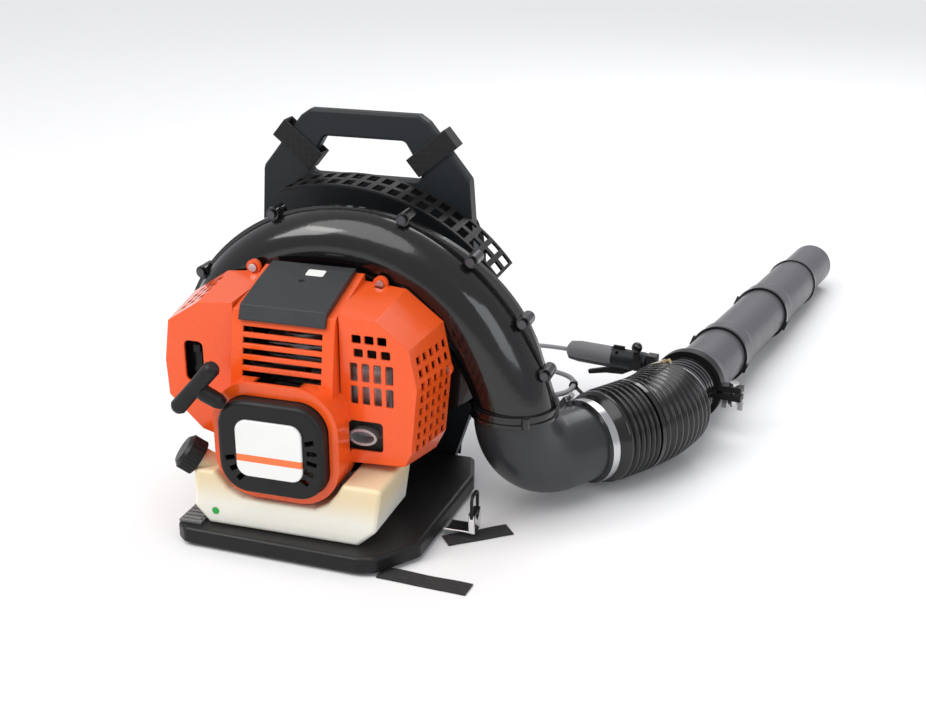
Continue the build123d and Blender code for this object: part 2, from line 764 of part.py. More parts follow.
TAIL_W = 25
TAIL_T = 1.8
TAILS = [((126, -160), (232, -166)), ((172, -70), (236, -20))]

with BuildPart() as webbing_tails:
    for start, end in TAILS:
        with BuildLine(mode=Mode.PRIVATE):
            run = Line(start, end)
        with BuildSketch(Plane(origin=run @ 0.5, x_dir=run % 0, z_dir=(0, 0, 1))):
            Rectangle(run.length, TAIL_W)
        extrude(amount=TAIL_T)
save(webbing_tails, "webbing_tails")

# ---------------------------------------------------------------- elbow and clamps
YAW = 34  # outward turn of the elbow's outlet from +Y towards +X
ELBOW_BEND_R = 72
ELBOW_OUT = 55  # straight run after the bend
HEADING = Vector(sin(radians(YAW)), cos(radians(YAW)), 0)
ELBOW_PLANE = Plane(
    origin=(OUTLET[0], OUTLET[1], 0),
    x_dir=HEADING,
    z_dir=(HEADING.Y, -HEADING.X, 0),
)
EXIT = Vector(OUTLET[0], OUTLET[1], AIR_Z) + HEADING * (ELBOW_BEND_R + ELBOW_OUT)
EXIT_PLANE = Plane(origin=EXIT, x_dir=(HEADING.Y, -HEADING.X, 0), z_dir=HEADING)
DROP = Plane(origin=OUTLET, x_dir=(1, 0, 0), z_dir=(0, 0, -1))

with BuildPart() as elbow:
    with BuildLine(ELBOW_PLANE) as route:
        Line((0, OUTLET[2] - 0.2), (0, AIR_Z + ELBOW_BEND_R))
        RadiusArc((0, AIR_Z + ELBOW_BEND_R), (ELBOW_BEND_R, AIR_Z), -ELBOW_BEND_R)
        Line((ELBOW_BEND_R, AIR_Z), (ELBOW_BEND_R + ELBOW_OUT, AIR_Z))
    with BuildSketch(Plane(origin=(OUTLET[0], OUTLET[1], OUTLET[2] - 0.2), z_dir=(0, 0, -1))):
        Circle(DUCT_R)
        Circle(DUCT_R - WALL, mode=Mode.SUBTRACT)
    sweep()
save(elbow, "elbow")

with BuildPart() as outlet_collar:
    add(hoop(DROP, DUCT_R + 0.1, DUCT_R + 3, 0.4, 14).part)
    add(hoop(DROP, DUCT_R + 0.1, DUCT_R + 5, 0.4, 4).part)
    add(hoop(DROP, DUCT_R + 0.1, DUCT_R + 5, 10, 14).part)
    for angle in (-100, -60, 60):
        with Locations(DROP):
            with Locations((52 * cos(radians(angle)), 52 * sin(radians(angle)), 7.2)):
                Cylinder(5, 13)
    add(hoop(DROP, 0, DUCT_R + 0.1, -5, 30).part, mode=Mode.SUBTRACT)
save(outlet_collar, "outlet_collar")

SLEEVE_R = DUCT_R + 4
BAND_T = 1.2


def worm_clamp(base, inner, turn):
    """Band with its screw housing and screw, turned about base's Z axis."""
    with BuildPart() as clamp:
        add(hoop(base, inner, inner + BAND_T, 0, 11).part)
        with Locations(base):
            with Locations(Location((0, 0, 0), (0, 0, turn))):
                with Locations((inner + 5, 0, 5.5)):
                    Box(8, 24, 12)
                    Box(5.4, 30, 6, mode=Mode.SUBTRACT)
        add(hoop(base, 0, inner, -5, 20).part, mode=Mode.SUBTRACT)
        with Locations(base):
            with Locations(Location((0, 0, 0), (0, 0, turn))):
                with Locations(Location((inner + 5, 0, 5.5), (90, 0, 0))):
                    Cylinder(2.4, 30)
                with Locations(Location((inner + 5, 17.5, 5.5), (90, 0, 0))):
                    Cylinder(3.8, 5)
    return clamp


save(worm_clamp(EXIT_PLANE.offset(-12), SLEEVE_R + 0.1, -140), "clamp_1")

# ---------------------------------------------------------------- bellows
INNER_LEN = 66
HOOP_LEN = 6
WAND_YAW = 9
WAND_DIP = 1.9
OUTER_ARC = 85
GAP = 0.4

with BuildPart() as bellows_inner:
    add(hoop(EXIT_PLANE, DUCT_R + 0.1, SLEEVE_R, -14, 4).part)
    add(hoop(EXIT_PLANE, DUCT_R + 0.1, BELLOWS_R, 4, INNER_LEN).part)
save(bellows_inner, "bellows_inner")

MID = EXIT_PLANE.offset(INNER_LEN + GAP)

ARC_START = MID.offset(HOOP_LEN + GAP)
ARC_R = OUTER_ARC / radians(YAW - WAND_YAW)

with BuildPart() as bellows_outer:
    with BuildLine(Plane.XY.offset(AIR_Z)) as route:
        begin = (ARC_START.origin.X, ARC_START.origin.Y)
        bow = JernArc(begin, (HEADING.X, HEADING.Y), ARC_R, YAW - WAND_YAW)
    with BuildSketch(ARC_START):
        Circle(BELLOWS_R)
        Circle(DUCT_R, mode=Mode.SUBTRACT)
    sweep()
save(bellows_outer, "bellows_outer")

# ---------------------------------------------------------------- blower tubes
dip = radians(WAND_DIP)
yaw = radians(WAND_YAW)
AIM = Vector(sin(yaw) * cos(dip), cos(yaw) * cos(dip), -sin(dip))
WAND = Plane(origin=bow @ 1, x_dir=(-cos(yaw), sin(yaw), 0), z_dir=AIM)

CUFF_END = 26
RIBS = [32 + 9 * number for number in range(5)]
CONTROL_AT = 78
TUBE_1_AT, TUBE_2_AT, NOZZLE_AT = 96, 234, 462
RING_3_AT = 658
NOZZLE_END = 792
BORE = TUBE_R - WALL
SOCKET = 18
FLARE_R = 42

end_cuff = turned(
    WAND,
    [(TUBE_R + 3, 2), (52, 2), (52, 5), (TUBE_R + 7, 9), (TUBE_R + 7, CUFF_END), (TUBE_R + 3, CUFF_END)],
)
save(end_cuff, "end_cuff")

save(worm_clamp(WAND.offset(12), TUBE_R + 7.1, 62), "clamp_2")

with BuildPart() as swivel_tube:
    add(hoop(WAND, BORE, TUBE_R - SLIP, 4, TUBE_1_AT + SOCKET).part)
    add(hoop(WAND, BORE, TUBE_R + 2.9, 4, CUFF_END + 3).part)
    for place in RIBS:
        add(hoop(WAND, BORE, TUBE_R + 5, place, place + 5).part)
save(swivel_tube, "swivel_tube")


def bayonet_ring(start):
    """Black ring with two locking lugs, fixed on the end of a tube."""
    with BuildPart() as ring:
        add(hoop(WAND, TUBE_R, TUBE_R + 4, start, start + 6).part)
        for turn in (20, 200):
            with Locations(WAND):
                with Locations(Location((0, 0, 0), (0, 0, turn))):
                    with Locations((TUBE_R + 3.6, 0, start + 3)):
                        Box(6, 14, 6)
        add(hoop(WAND, 0, TUBE_R, start - 5, start + 20).part, mode=Mode.SUBTRACT)
    return ring


tube_1 = turned(
    WAND,
    [
        (TUBE_R, TUBE_1_AT),
        (46, TUBE_1_AT),
        (46, TUBE_1_AT + 6),
        (TUBE_R, TUBE_1_AT + 34),
        (TUBE_R, TUBE_2_AT - 1),
        (TUBE_R - SLIP, TUBE_2_AT - 0.5),
        (TUBE_R - SLIP, TUBE_2_AT + SOCKET),
        (BORE, TUBE_2_AT + SOCKET),
        (BORE, TUBE_1_AT + SOCKET + 0.5),
        (TUBE_R, TUBE_1_AT + SOCKET + 0.5),
    ],
)
save(tube_1, "tube_1")

tube_2 = turned(
    WAND,
    [
        (TUBE_R, TUBE_2_AT),
        (FLARE_R, TUBE_2_AT),
        (FLARE_R, TUBE_2_AT + 26),
        (TUBE_R, TUBE_2_AT + 40),
        (TUBE_R, NOZZLE_AT - 1),
        (TUBE_R - SLIP, NOZZLE_AT - 0.5),
        (TUBE_R - SLIP, NOZZLE_AT + SOCKET),
        (BORE, NOZZLE_AT + SOCKET),
        (BORE, TUBE_2_AT + SOCKET + 0.5),
        (TUBE_R, TUBE_2_AT + SOCKET + 0.5),
    ],
)
save(tube_2, "tube_2")

NOZZLE_R = 36
nozzle = turned(
    WAND,
    [
        (TUBE_R, NOZZLE_AT),
        (FLARE_R, NOZZLE_AT),
        (FLARE_R, NOZZLE_AT + 26),
        (TUBE_R, NOZZLE_AT + 40),
        (TUBE_R, RING_3_AT - 5),
        (TUBE_R + 2.4, RING_3_AT - 5),
        (TUBE_R + 2.4, RING_3_AT - 1),
        (TUBE_R, RING_3_AT - 1),
        (NOZZLE_R, RING_3_AT + 8),
        (NOZZLE_R, NOZZLE_END),
        (NOZZLE_R - WALL, NOZZLE_END),
        (NOZZLE_R - WALL, RING_3_AT),
        (BORE, RING_3_AT - 12),
        (BORE, NOZZLE_AT + SOCKET + 0.5),
        (TUBE_R, NOZZLE_AT + SOCKET + 0.5),
    ],
)
save(nozzle, "nozzle")

save(bayonet_ring(TUBE_2_AT - 7), "joint_ring_1")
save(bayonet_ring(NOZZLE_AT - 7), "joint_ring_2")

# ---------------------------------------------------------------- throttle control
CLAMP_R = 50
CONTROL = WAND.offset(CONTROL_AT)
CLAMP_LEN = 16
EAR_OUT = CLAMP_R + 26
BOLT_AT = CLAMP_R + 14

with BuildPart() as control_clamp:
    add(hoop(CONTROL, TUBE_R, CLAMP_R, 0, CLAMP_LEN).part)
    with Locations(CONTROL):
        with Locations((-(CLAMP_R + 10), 0, CLAMP_LEN / 2)):
            Box(32, 20, CLAMP_LEN)
        with Locations((-(CLAMP_R + 12), 0, CLAMP_LEN / 2)):
            Box(52, 4, CLAMP_LEN + 2, mode=Mode.SUBTRACT)
        with Locations((CLAMP_R + 4, 14, CLAMP_LEN / 2)):
            Box(14, 40, CLAMP_LEN)
        with Locations(Location((-BOLT_AT, 0, CLAMP_LEN / 2), (90, 0, 0))):
            Cylinder(3 + SLIP, 40, mode=Mode.SUBTRACT)
    add(hoop(CONTROL, 0, TUBE_R, -20, 40).part, mode=Mode.SUBTRACT)
save(control_clamp, "control_clamp")

with BuildPart() as clamp_bolt:
    with Locations(CONTROL):
        with Locations(Location((-BOLT_AT, -5, CLAMP_LEN / 2), (90, 0, 0))):
            Cylinder(3, 30)
        with Locations(Location((-BOLT_AT, 12.6, CLAMP_LEN / 2), (90, 0, 0))):
            Cylinder(6.5, 5)
save(clamp_bolt, "clamp_bolt")

with BuildPart() as wing_nut:
    with Locations(CONTROL):
        with Locations(Location((-BOLT_AT, -13.2, CLAMP_LEN / 2), (90, 0, 0))):
            Cylinder(6, 6)
            Box(26, 3, 5)
        with Locations((-BOLT_AT - 11, -18, CLAMP_LEN / 2), (-BOLT_AT + 11, -18, CLAMP_LEN / 2)):
            Box(7, 11, 3)
        with Locations(Location((-BOLT_AT, -13, CLAMP_LEN / 2), (90, 0, 0))):
            Cylinder(3 + SLIP, 30, mode=Mode.SUBTRACT)
save(wing_nut, "wing_nut")

GRIP_R = 15
GRIP_LEN = 118
GRIP_RISE = 21  # how far the grip sits above the tube's axis
# the grip runs straight out of the clamp's left side
GRIP = Plane(
    origin=CONTROL.origin + CONTROL.x_dir * (CLAMP_R + 11.2) + AIM * (CLAMP_LEN / 2) + CONTROL.y_dir * GRIP_RISE,
    x_dir=CONTROL.y_dir,
    z_dir=CONTROL.x_dir,
)

TRIGGER_PIVOT = (-9, 0, 20)
SWITCH_PIVOT = (10, 0, 42)
LEVER_AT = 10
ACROSS = (90, 0, 0)

with BuildPart() as throttle_grip:
    profile = [(0, 0), (13, 0), (14, 4), (14, 40), (GRIP_R, 60), (GRIP_R, 100)]
    add(turned(GRIP, profile + [(13, 114), (8, GRIP_LEN), (0, GRIP_LEN)]).part)
    with Locations(GRIP):
        with Locations((-12, 0, 48)):
            Box(14, 9, 80, mode=Mode.SUBTRACT)
        with Locations(Location(TRIGGER_PIVOT, ACROSS)):
            Cylinder(2 + SLIP, 60, mode=Mode.SUBTRACT)
        with Locations((13, 0, SWITCH_PIVOT[2])):
            Box(8, 5, 22, mode=Mode.SUBTRACT)
        with Locations(Location(SWITCH_PIVOT, ACROSS)):
            Cylinder(2 + SLIP, 60, mode=Mode.SUBTRACT)
        with Locations(Location((0, -11, LEVER_AT), ACROSS)):
            Cylinder(3 + SLIP, 10, mode=Mode.SUBTRACT)
    add(hoop(GRIP, 0, 3.7, GRIP_LEN - 8, GRIP_LEN + 2).part, mode=Mode.SUBTRACT)
save(throttle_grip, "throttle_grip")

with BuildPart() as throttle_trigger:
    with BuildSketch(Plane(origin=GRIP.origin - GRIP.y_dir * 3.8, x_dir=GRIP.x_dir, z_dir=GRIP.y_dir)):
        with BuildLine():
            # local x is up the grip's cross-section, local y runs back along the grip
            Polyline((-7, -16), (-12, -16), (-22, -34), (-24, -58), (-30, -84), (-25, -86), (-17, -60), close=True)
        make_face()
    extrude(amount=7.6)
    with Locations(GRIP):
        with Locations(Location(TRIGGER_PIVOT, ACROSS)):
            Cylinder(2, 20)
save(throttle_trigger, "throttle_trigger")

with BuildPart() as stop_switch:
    with Locations(GRIP):
        with Locations((15, 0, SWITCH_PIVOT[2])):
            Box(6, 4.4, 16)
        with Locations((11, 0, SWITCH_PIVOT[2])):
            Box(3, 4.4, 3)
        with Locations(Location(SWITCH_PIVOT, ACROSS)):
            Cylinder(2, 12)
save(stop_switch, "stop_switch")

with BuildPart() as speed_lever:
    with Locations(GRIP):
        with Locations(Location((0, -12.6, LEVER_AT), ACROSS)):
            Cylinder(3, 6)
        with Locations(Location((0, -17, LEVER_AT), ACROSS)):
            Cylinder(8, 4.4)
        with Locations((12, -17, LEVER_AT)):
            Box(24, 4.4, 8)
        with Locations((26, -17.5, LEVER_AT)):
            Sphere(7.5)
save(speed_lever, "speed_lever")

# ---------------------------------------------------------------- throttle conduit
CONDUIT_R = 3.5
TIE = Vector(250, 230, 90)
TIE_HEADING = Vector(-0.171, 0.97, -0.17).normalized()
GRIP_TAIL = GRIP.origin + GRIP.z_dir * (GRIP_LEN - 7)
FRAME_EXIT = Vector(150, 123, 112)


def conduit(points, radii):
    """Round cable sheath along straight runs joined by tangent arcs."""
    with BuildPart() as sheath:
        with BuildLine() as line:
            FilletPolyline(*points, radius=radii)
        start = line.wires()[0]
        with BuildSketch(Plane(origin=start @ 0, z_dir=start % 0)):
            Circle(CONDUIT_R)
        sweep()
    print("conduit length", round(start.length, 1), "radii", radii)
    return sheath


FIRST_ROUTE = [FRAME_EXIT, (206, 123, 112), TIE - TIE_HEADING * 60, TIE - TIE_HEADING * 0.5]
SECOND_ROUTE = [
    TIE + TIE_HEADING * 0.5,
    TIE + TIE_HEADING * 45,
    (196, 290, 84),
    (138, 283, 86),
    (115, 339, 85),
    GRIP_TAIL + GRIP.z_dir * 62,
    GRIP_TAIL,
]
save(conduit(FIRST_ROUTE, [50, 40]), "conduit_lower")
save(conduit(SECOND_ROUTE, [34, 60, 33, 44, 44]), "conduit_upper")

# stiffening hoop between the bellows halves, with the clip that holds the conduit
with BuildPart() as bellows_hoop:
    clip = Plane(origin=TIE, z_dir=TIE_HEADING)
    add(hoop(clip, 0, CONDUIT_R + 2.5, -5, 5).part)
    foot = MID.origin + HEADING * (HOOP_LEN / 2) - MID.x_dir * (BELLOWS_R - 2)
    reach = TIE - foot
    arm = Plane(origin=foot, z_dir=reach)
    add(hoop(arm, 0, 2.4, 0, reach.length).part)
    add(hoop(clip, 0, CONDUIT_R + 0.1, -8, 8).part, mode=Mode.SUBTRACT)
    add(hoop(MID, DUCT_R + 2, BELLOWS_R, 0, HOOP_LEN).part)
save(bellows_hoop, "bellows_hoop")
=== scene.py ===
import math

import bmesh
import bpy
from mathutils import Matrix, Vector


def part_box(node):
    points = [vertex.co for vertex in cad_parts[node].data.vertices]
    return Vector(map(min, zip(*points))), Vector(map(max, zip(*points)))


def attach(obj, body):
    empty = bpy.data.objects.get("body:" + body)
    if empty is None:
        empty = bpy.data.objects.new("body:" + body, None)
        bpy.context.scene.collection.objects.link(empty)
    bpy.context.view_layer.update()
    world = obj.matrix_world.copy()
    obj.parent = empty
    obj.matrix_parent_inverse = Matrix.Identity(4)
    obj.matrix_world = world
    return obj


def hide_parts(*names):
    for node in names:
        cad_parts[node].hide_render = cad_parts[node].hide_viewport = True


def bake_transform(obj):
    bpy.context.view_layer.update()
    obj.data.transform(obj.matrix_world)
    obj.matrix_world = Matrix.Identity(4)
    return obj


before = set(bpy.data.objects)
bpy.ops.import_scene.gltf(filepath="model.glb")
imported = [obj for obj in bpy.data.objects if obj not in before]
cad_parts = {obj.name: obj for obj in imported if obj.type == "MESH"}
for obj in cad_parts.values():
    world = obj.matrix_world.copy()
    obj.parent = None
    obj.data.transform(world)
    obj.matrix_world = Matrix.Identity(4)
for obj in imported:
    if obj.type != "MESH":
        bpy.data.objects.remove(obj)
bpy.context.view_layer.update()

bl_info = {
    "name": "Backpack blower",
    "version": (1, 0, 0),
    "blender": (4, 5, 0),
    "location": "View3D > Sidebar > Blower",
    "description": "Finishes, bellows, cords, webbing and pads of a backpack leaf blower",
    "category": "Object",
}

# ---------------------------------------------------------------- places shared with the CAD model, in metres
OUTLET = Vector((0.228, 0.020, 0.150))
AIR_Z = 0.064
YAW = math.radians(34)
WAND_YAW = math.radians(9)
WAND_DIP = math.radians(1.9)
HEADING = Vector((math.sin(YAW), math.cos(YAW), 0))
EXIT = Vector((OUTLET.x, OUTLET.y, AIR_Z)) + HEADING * 0.127
INNER_LEN = 0.066
OUTER_ARC = 0.085
ARC_START = EXIT + HEADING * (INNER_LEN + 0.0068)
UP = Vector((0, 0, 1))
AIM = Vector(
    (
        math.sin(WAND_YAW) * math.cos(WAND_DIP),
        math.cos(WAND_YAW) * math.cos(WAND_DIP),
        -math.sin(WAND_DIP),
    )
)
WAND_START = Vector((0.370633, 0.264101, 0.064))
WAND_BAND = WAND_START + AIM * 0.0175  # middle of the clamp on the blower tube
ROPE_EXIT = Vector((-0.052, -0.162, 0.181))
PULL = Vector((-0.68, -0.42, 0.6)).normalized()
TIE = Vector((0.250, 0.230, 0.090))
TIE_HEADING = Vector((-0.171, 0.970, -0.170)).normalized()
GRIP_AXIS = Vector((-math.cos(WAND_YAW), math.sin(WAND_YAW), 0))
GRIP_TAIL = Vector((0.3237, 0.3593, 0.0821)) + GRIP_AXIS * 0.111
LOWER_ROUTE = [
    (0.150, 0.123, 0.112),
    (0.206, 0.123, 0.112),
    TIE - TIE_HEADING * 0.060,
    TIE - TIE_HEADING * 0.0005,
]
UPPER_ROUTE = [
    TIE + TIE_HEADING * 0.0005,
    TIE + TIE_HEADING * 0.045,
    (0.196, 0.290, 0.084),
    (0.138, 0.283, 0.086),
    (0.115, 0.339, 0.085),
    GRIP_TAIL + GRIP_AXIS * 0.062,
    GRIP_TAIL,
]
FRAME_MID_X = 0.008
STRAP_X = (FRAME_MID_X - 0.104, FRAME_MID_X + 0.104)

# ---------------------------------------------------------------- settings of the looks, lengths in metres
EYE = (0.6234, -1.3924, 0.774)
SIGHT = Vector((-0.2877, 0.8855, -0.3649))
LENS_MM = 52.76
FLOOR_HALF = 12
LAMP_AIM = Vector((0.1, 0.2, 0.1))
NOISE_SPAN = (0.3, 0.7)  # the noise texture seldom leaves this range
MIX_FACTOR, MIX_FIRST, MIX_SECOND, MIX_RESULT = 0, 6, 7, 2  # colour sockets of the mix node
DUST_COLOUR = (0.42, 0.38, 0.32)
STAIN_HEIGHTS = (0.048, 0.085)  # the tank's tint rises between these
STRIPE_Z = 0.1235
STRIPE_HALF = 0.0042
STRIPE_ORANGE = (0.80, 0.16, 0.03)
CONDUIT_PITCH = 0.0014
CONDUIT_GROOVE = 0.8  # groove radius over crest radius
ROPE_STEPS = 40
BELLOWS_SIDES = 96
RIB_SHAPE = [(0.0, 1.0), (0.16, 0.82), (0.3, 0.22), (0.4, 0.02), (0.6, 0.02), (0.7, 0.22), (0.84, 0.82)]
LINE_HALF = 0.0011
LINE_HIGH = 0.0008
SQUARE_HALF = 0.7071  # half side of the square in a unit circle
PAD_VOXEL = 0.0045
CLOTH_FRAMES = 20
PAD_CHANNELS = (0.150, 0.205, 0.260)  # heights of the back pad's sewn channels
CHANNEL_DEPTH = 0.0035
CHANNEL_HALF = 0.006
CHANNEL_FROM_Y = 0.144


class Band:
    """A stretch of the blower tube, by its distance from the tube's start."""

    def __init__(self, low, high, radius):
        self.low, self.high, self.radius = low, high, radius

    def contains(self, point):
        along = (point - WAND_START).dot(AIM)
        return self.low < along < self.high and (point - WAND_START).cross(AIM).length > self.radius


RING_BAND = Band(0.6529, 0.6572, 0.0391)


class BlowerSizes(bpy.types.PropertyGroup):
    """Sizes of the pieces that are made in Blender"""

    bellows_r: bpy.props.FloatProperty(
        name="Bellows radius", description="Outside of the ribs", default=0.060, subtype="DISTANCE"
    )
    rib_depth: bpy.props.FloatProperty(
        name="Rib depth", description="Crest to valley", default=0.0055, subtype="DISTANCE"
    )
    inner_ribs: bpy.props.IntProperty(name="Inner ribs", description="Ribs before the hoop", default=5)
    outer_ribs: bpy.props.IntProperty(name="Outer ribs", description="Ribs after the hoop", default=9)
    conduit_r: bpy.props.FloatProperty(
        name="Conduit radius", description="Throttle cable sheath", default=0.0035, subtype="DISTANCE"
    )
    rope_r: bpy.props.FloatProperty(
        name="Rope radius", description="Recoil starter rope", default=0.0018, subtype="DISTANCE"
    )
    pad_rise: bpy.props.FloatProperty(
        name="Pad rise", description="How far the pads may swell", default=0.005, subtype="DISTANCE"
    )
    pressure: bpy.props.FloatProperty(
        name="Pad pressure", description="Cloth pressure in the pads", default=4.0
    )


class BlowerColours(bpy.types.PropertyGroup):
    """Colours of the blower's finishes"""

    cover: bpy.props.FloatVectorProperty(
        name="Cover", description="Engine cover", default=(0.82, 0.090, 0.008), subtype="COLOR"
    )
    black: bpy.props.FloatVectorProperty(
        name="Black", description="Black mouldings", default=(0.0045, 0.0045, 0.005), subtype="COLOR"
    )
    cap: bpy.props.FloatVectorProperty(
        name="Cap", description="Top cap and elbow", default=(0.022, 0.024, 0.027), subtype="COLOR"
    )
    slate: bpy.props.FloatVectorProperty(
        name="Back frame", description="Carrying frame", default=(0.012, 0.015, 0.018), subtype="COLOR"
    )
    tube: bpy.props.FloatVectorProperty(
        name="Tubes", description="Blower tubes", default=(0.090, 0.086, 0.100), subtype="COLOR"
    )
    tank: bpy.props.FloatVectorProperty(
        name="Tank", description="Translucent tank", default=(0.80, 0.78, 0.70), subtype="COLOR"
    )
    fuel: bpy.props.FloatVectorProperty(
        name="Tank tint",
        description="Amber tint high on the tank",
        default=(0.74, 0.62, 0.40),
        subtype="COLOR",
    )
    white: bpy.props.FloatVectorProperty(
        name="Badge", description="Badge and label white", default=(0.78, 0.78, 0.76), subtype="COLOR"
    )


# ---------------------------------------------------------------- finishes
def link_value(tree, low, high, source, socket):
    """Source noise mapped to low..high and sent to a shader socket."""
    spread = tree.nodes.new("ShaderNodeMapRange")
    spread.inputs["From Min"].default_value = NOISE_SPAN[0]
    spread.inputs["From Max"].default_value = NOISE_SPAN[1]
    spread.inputs["To Min"].default_value = low
    spread.inputs["To Max"].default_value = high
    tree.links.new(source, spread.inputs["Value"])
    tree.links.new(spread.outputs["Result"], socket)


def mixed(tree, factor, first, second, how="MIX"):
    """Colour mix of two colours or sockets, with a factor that is a number or a socket."""
    blend = tree.nodes.new("ShaderNodeMix")
    blend.data_type = "RGBA"
    blend.blend_type = how
    for place, value in ((MIX_FACTOR, factor), (MIX_FIRST, first), (MIX_SECOND, second)):
        if isinstance(value, bpy.types.NodeSocket):
            tree.links.new(value, blend.inputs[place])
        elif place != MIX_FACTOR:
            blend.inputs[place].default_value = (*value, 1)
        else:
            blend.inputs[place].default_value = value
    return blend.outputs[MIX_RESULT]


def noise(tree, scale, detail=3.0, stretch=(1, 1, 1)):
    """Noise on Object coordinates."""
    place = tree.nodes.new("ShaderNodeTexCoord")
    turn = tree.nodes.new("ShaderNodeMapping")
    turn.inputs["Scale"].default_value = stretch
    made = tree.nodes.new("ShaderNodeTexNoise")
    made.inputs["Scale"].default_value = scale
    made.inputs["Detail"].default_value = detail
    tree.links.new(place.outputs["Object"], turn.inputs["Vector"])
    tree.links.new(turn.outputs["Vector"], made.inputs["Vector"])
    return made.outputs["Fac"]


def axis_of(tree, axis):
    """One Object coordinate as a value."""
    place = tree.nodes.new("ShaderNodeTexCoord")
    parts = tree.nodes.new("ShaderNodeSeparateXYZ")
    tree.links.new(place.outputs["Object"], parts.inputs["Vector"])
    return parts.outputs[axis]


def finish(
    name,
    colour,
    rough,
    metal=0.0,
    coat=0.0,
    grain=0.12,
    grain_mm=0.5,
    mottle=0.1,
    edge_mm=0.7,
    dust=0.06,
    stretch=(1, 1, 1),
):
    """A moulded, cast or plated finish: fine grain, uneven sheen, softened edges and a little dust."""
    known = bpy.data.materials.get(name)
    if known:
        return known
    made = bpy.data.materials.new(name)
    made.use_nodes = True
    tree = made.node_tree
    shader = tree.nodes["Principled BSDF"]
    shader.inputs["Metallic"].default_value = metal
    shader.inputs["Coat Weight"].default_value = coat
    shader.inputs["Coat Roughness"].default_value = 0.06
    shader.inputs["Specular IOR Level"].default_value = 0.35 if coat or metal else 0.28
    broad = noise(tree, 16, 5.0)
    fine = noise(tree, 1000 / grain_mm, 2.0, stretch)
    dark = [c * (1 - mottle) for c in colour]
    light = [min(1, c * (1 + mottle)) for c in colour]
    shade = mixed(tree, broad, dark, light)
    facing = tree.nodes.new("ShaderNodeNewGeometry")
    parts = tree.nodes.new("ShaderNodeSeparateXYZ")
    tree.links.new(facing.outputs["Normal"], parts.inputs["Vector"])
    settle = tree.nodes.new("ShaderNodeMath")
    settle.operation = "MULTIPLY"
    settle.use_clamp = True
    tree.links.new(parts.outputs["Z"], settle.inputs[0])
    settle.inputs[1].default_value = dust * 2
    speck = tree.nodes.new("ShaderNodeMath")
    speck.operation = "MULTIPLY"
    tree.links.new(settle.outputs[0], speck.inputs[0])
    tree.links.new(noise(tree, 240, 6.0), speck.inputs[1])
    shade = mixed(tree, speck.outputs[0], shade, DUST_COLOUR)
    tree.links.new(shade, shader.inputs["Base Color"])
    link_value(tree, max(0.03, rough - 0.06), rough + 0.08, broad, shader.inputs["Roughness"])
    soft = tree.nodes.new("ShaderNodeBevel")
    soft.inputs["Radius"].default_value = edge_mm / 1000
    bump = tree.nodes.new("ShaderNodeBump")
    bump.inputs["Strength"].default_value = grain
    bump.inputs["Distance"].default_value = grain_mm / 2500
    tree.links.new(fine, bump.inputs["Height"])
    tree.links.new(soft.outputs["Normal"], bump.inputs["Normal"])
    tree.links.new(bump.outputs["Normal"], shader.inputs["Normal"])
    return made


def woven(name, colour, thread_mm=1.1, rough=0.78):
    """Crossed threads with a soft sheen."""
    known = bpy.data.materials.get(name)
    if known:
        return known
    made = finish(name, colour, rough, grain=0.3, grain_mm=0.3, mottle=0.25, edge_mm=0.3, dust=0.03)
    tree = made.node_tree
    shader = tree.nodes["Principled BSDF"]
    shader.inputs["Sheen Weight"].default_value = 0.15
    shader.inputs["Sheen Roughness"].default_value = 0.45
    place = tree.nodes.new("ShaderNodeTexCoord")
    heights = []
    for axis in ("X", "Y", "Z"):
        wave = tree.nodes.new("ShaderNodeTexWave")
        wave.bands_direction = axis
        wave.inputs["Scale"].default_value = 1000 / thread_mm / 20
        wave.inputs["Distortion"].default_value = 0.4
        tree.links.new(place.outputs["Object"], wave.inputs["Vector"])
        heights.append(wave.outputs["Fac"])
    cross = tree.nodes.new("ShaderNodeMath")
    cross.operation = "MULTIPLY"
    tree.links.new(heights[0], cross.inputs[0])
    tree.links.new(heights[1], cross.inputs[1])
    both = tree.nodes.new("ShaderNodeMath")
    tree.links.new(cross.outputs[0], both.inputs[0])
    tree.links.new(heights[2], both.inputs[1])
    bump = tree.nodes.new("ShaderNodeBump")
    bump.inputs["Strength"].default_value = 0.7
    bump.inputs["Distance"].default_value = thread_mm / 4000
    tree.links.new(both.outputs[0], bump.inputs["Height"])
    old = shader.inputs["Normal"].links[0].from_socket
    tree.links.new(old, bump.inputs["Normal"])
    tree.links.new(bump.outputs["Normal"], shader.inputs["Normal"])
    return made


def tank_finish(colours):
    """Milky plastic that turns amber towards the top, where fuel has stained it."""
    made = finish(
        "tank milk", colours.tank, 0.36, coat=0.15, grain=0.2, grain_mm=0.8, mottle=0.05, edge_mm=1.5
    )
    tree = made.node_tree
    shader = tree.nodes["Principled BSDF"]
    shader.inputs["Subsurface Weight"].default_value = 0.5
    shader.inputs["Subsurface Radius"].default_value = (0.012, 0.009, 0.006)
    shader.inputs["Subsurface Scale"].default_value = 1.0
    level = tree.nodes.new("ShaderNodeMapRange")
    level.inputs["From Min"].default_value = STAIN_HEIGHTS[0]
    level.inputs["From Max"].default_value = STAIN_HEIGHTS[1]
    level.interpolation_type = "SMOOTHSTEP"
    tree.links.new(axis_of(tree, "Z"), level.inputs["Value"])
    plain = shader.inputs["Base Color"].links[0].from_socket
    tree.links.new(mixed(tree, level.outputs["Result"], plain, colours.fuel), shader.inputs["Base Color"])
    return made


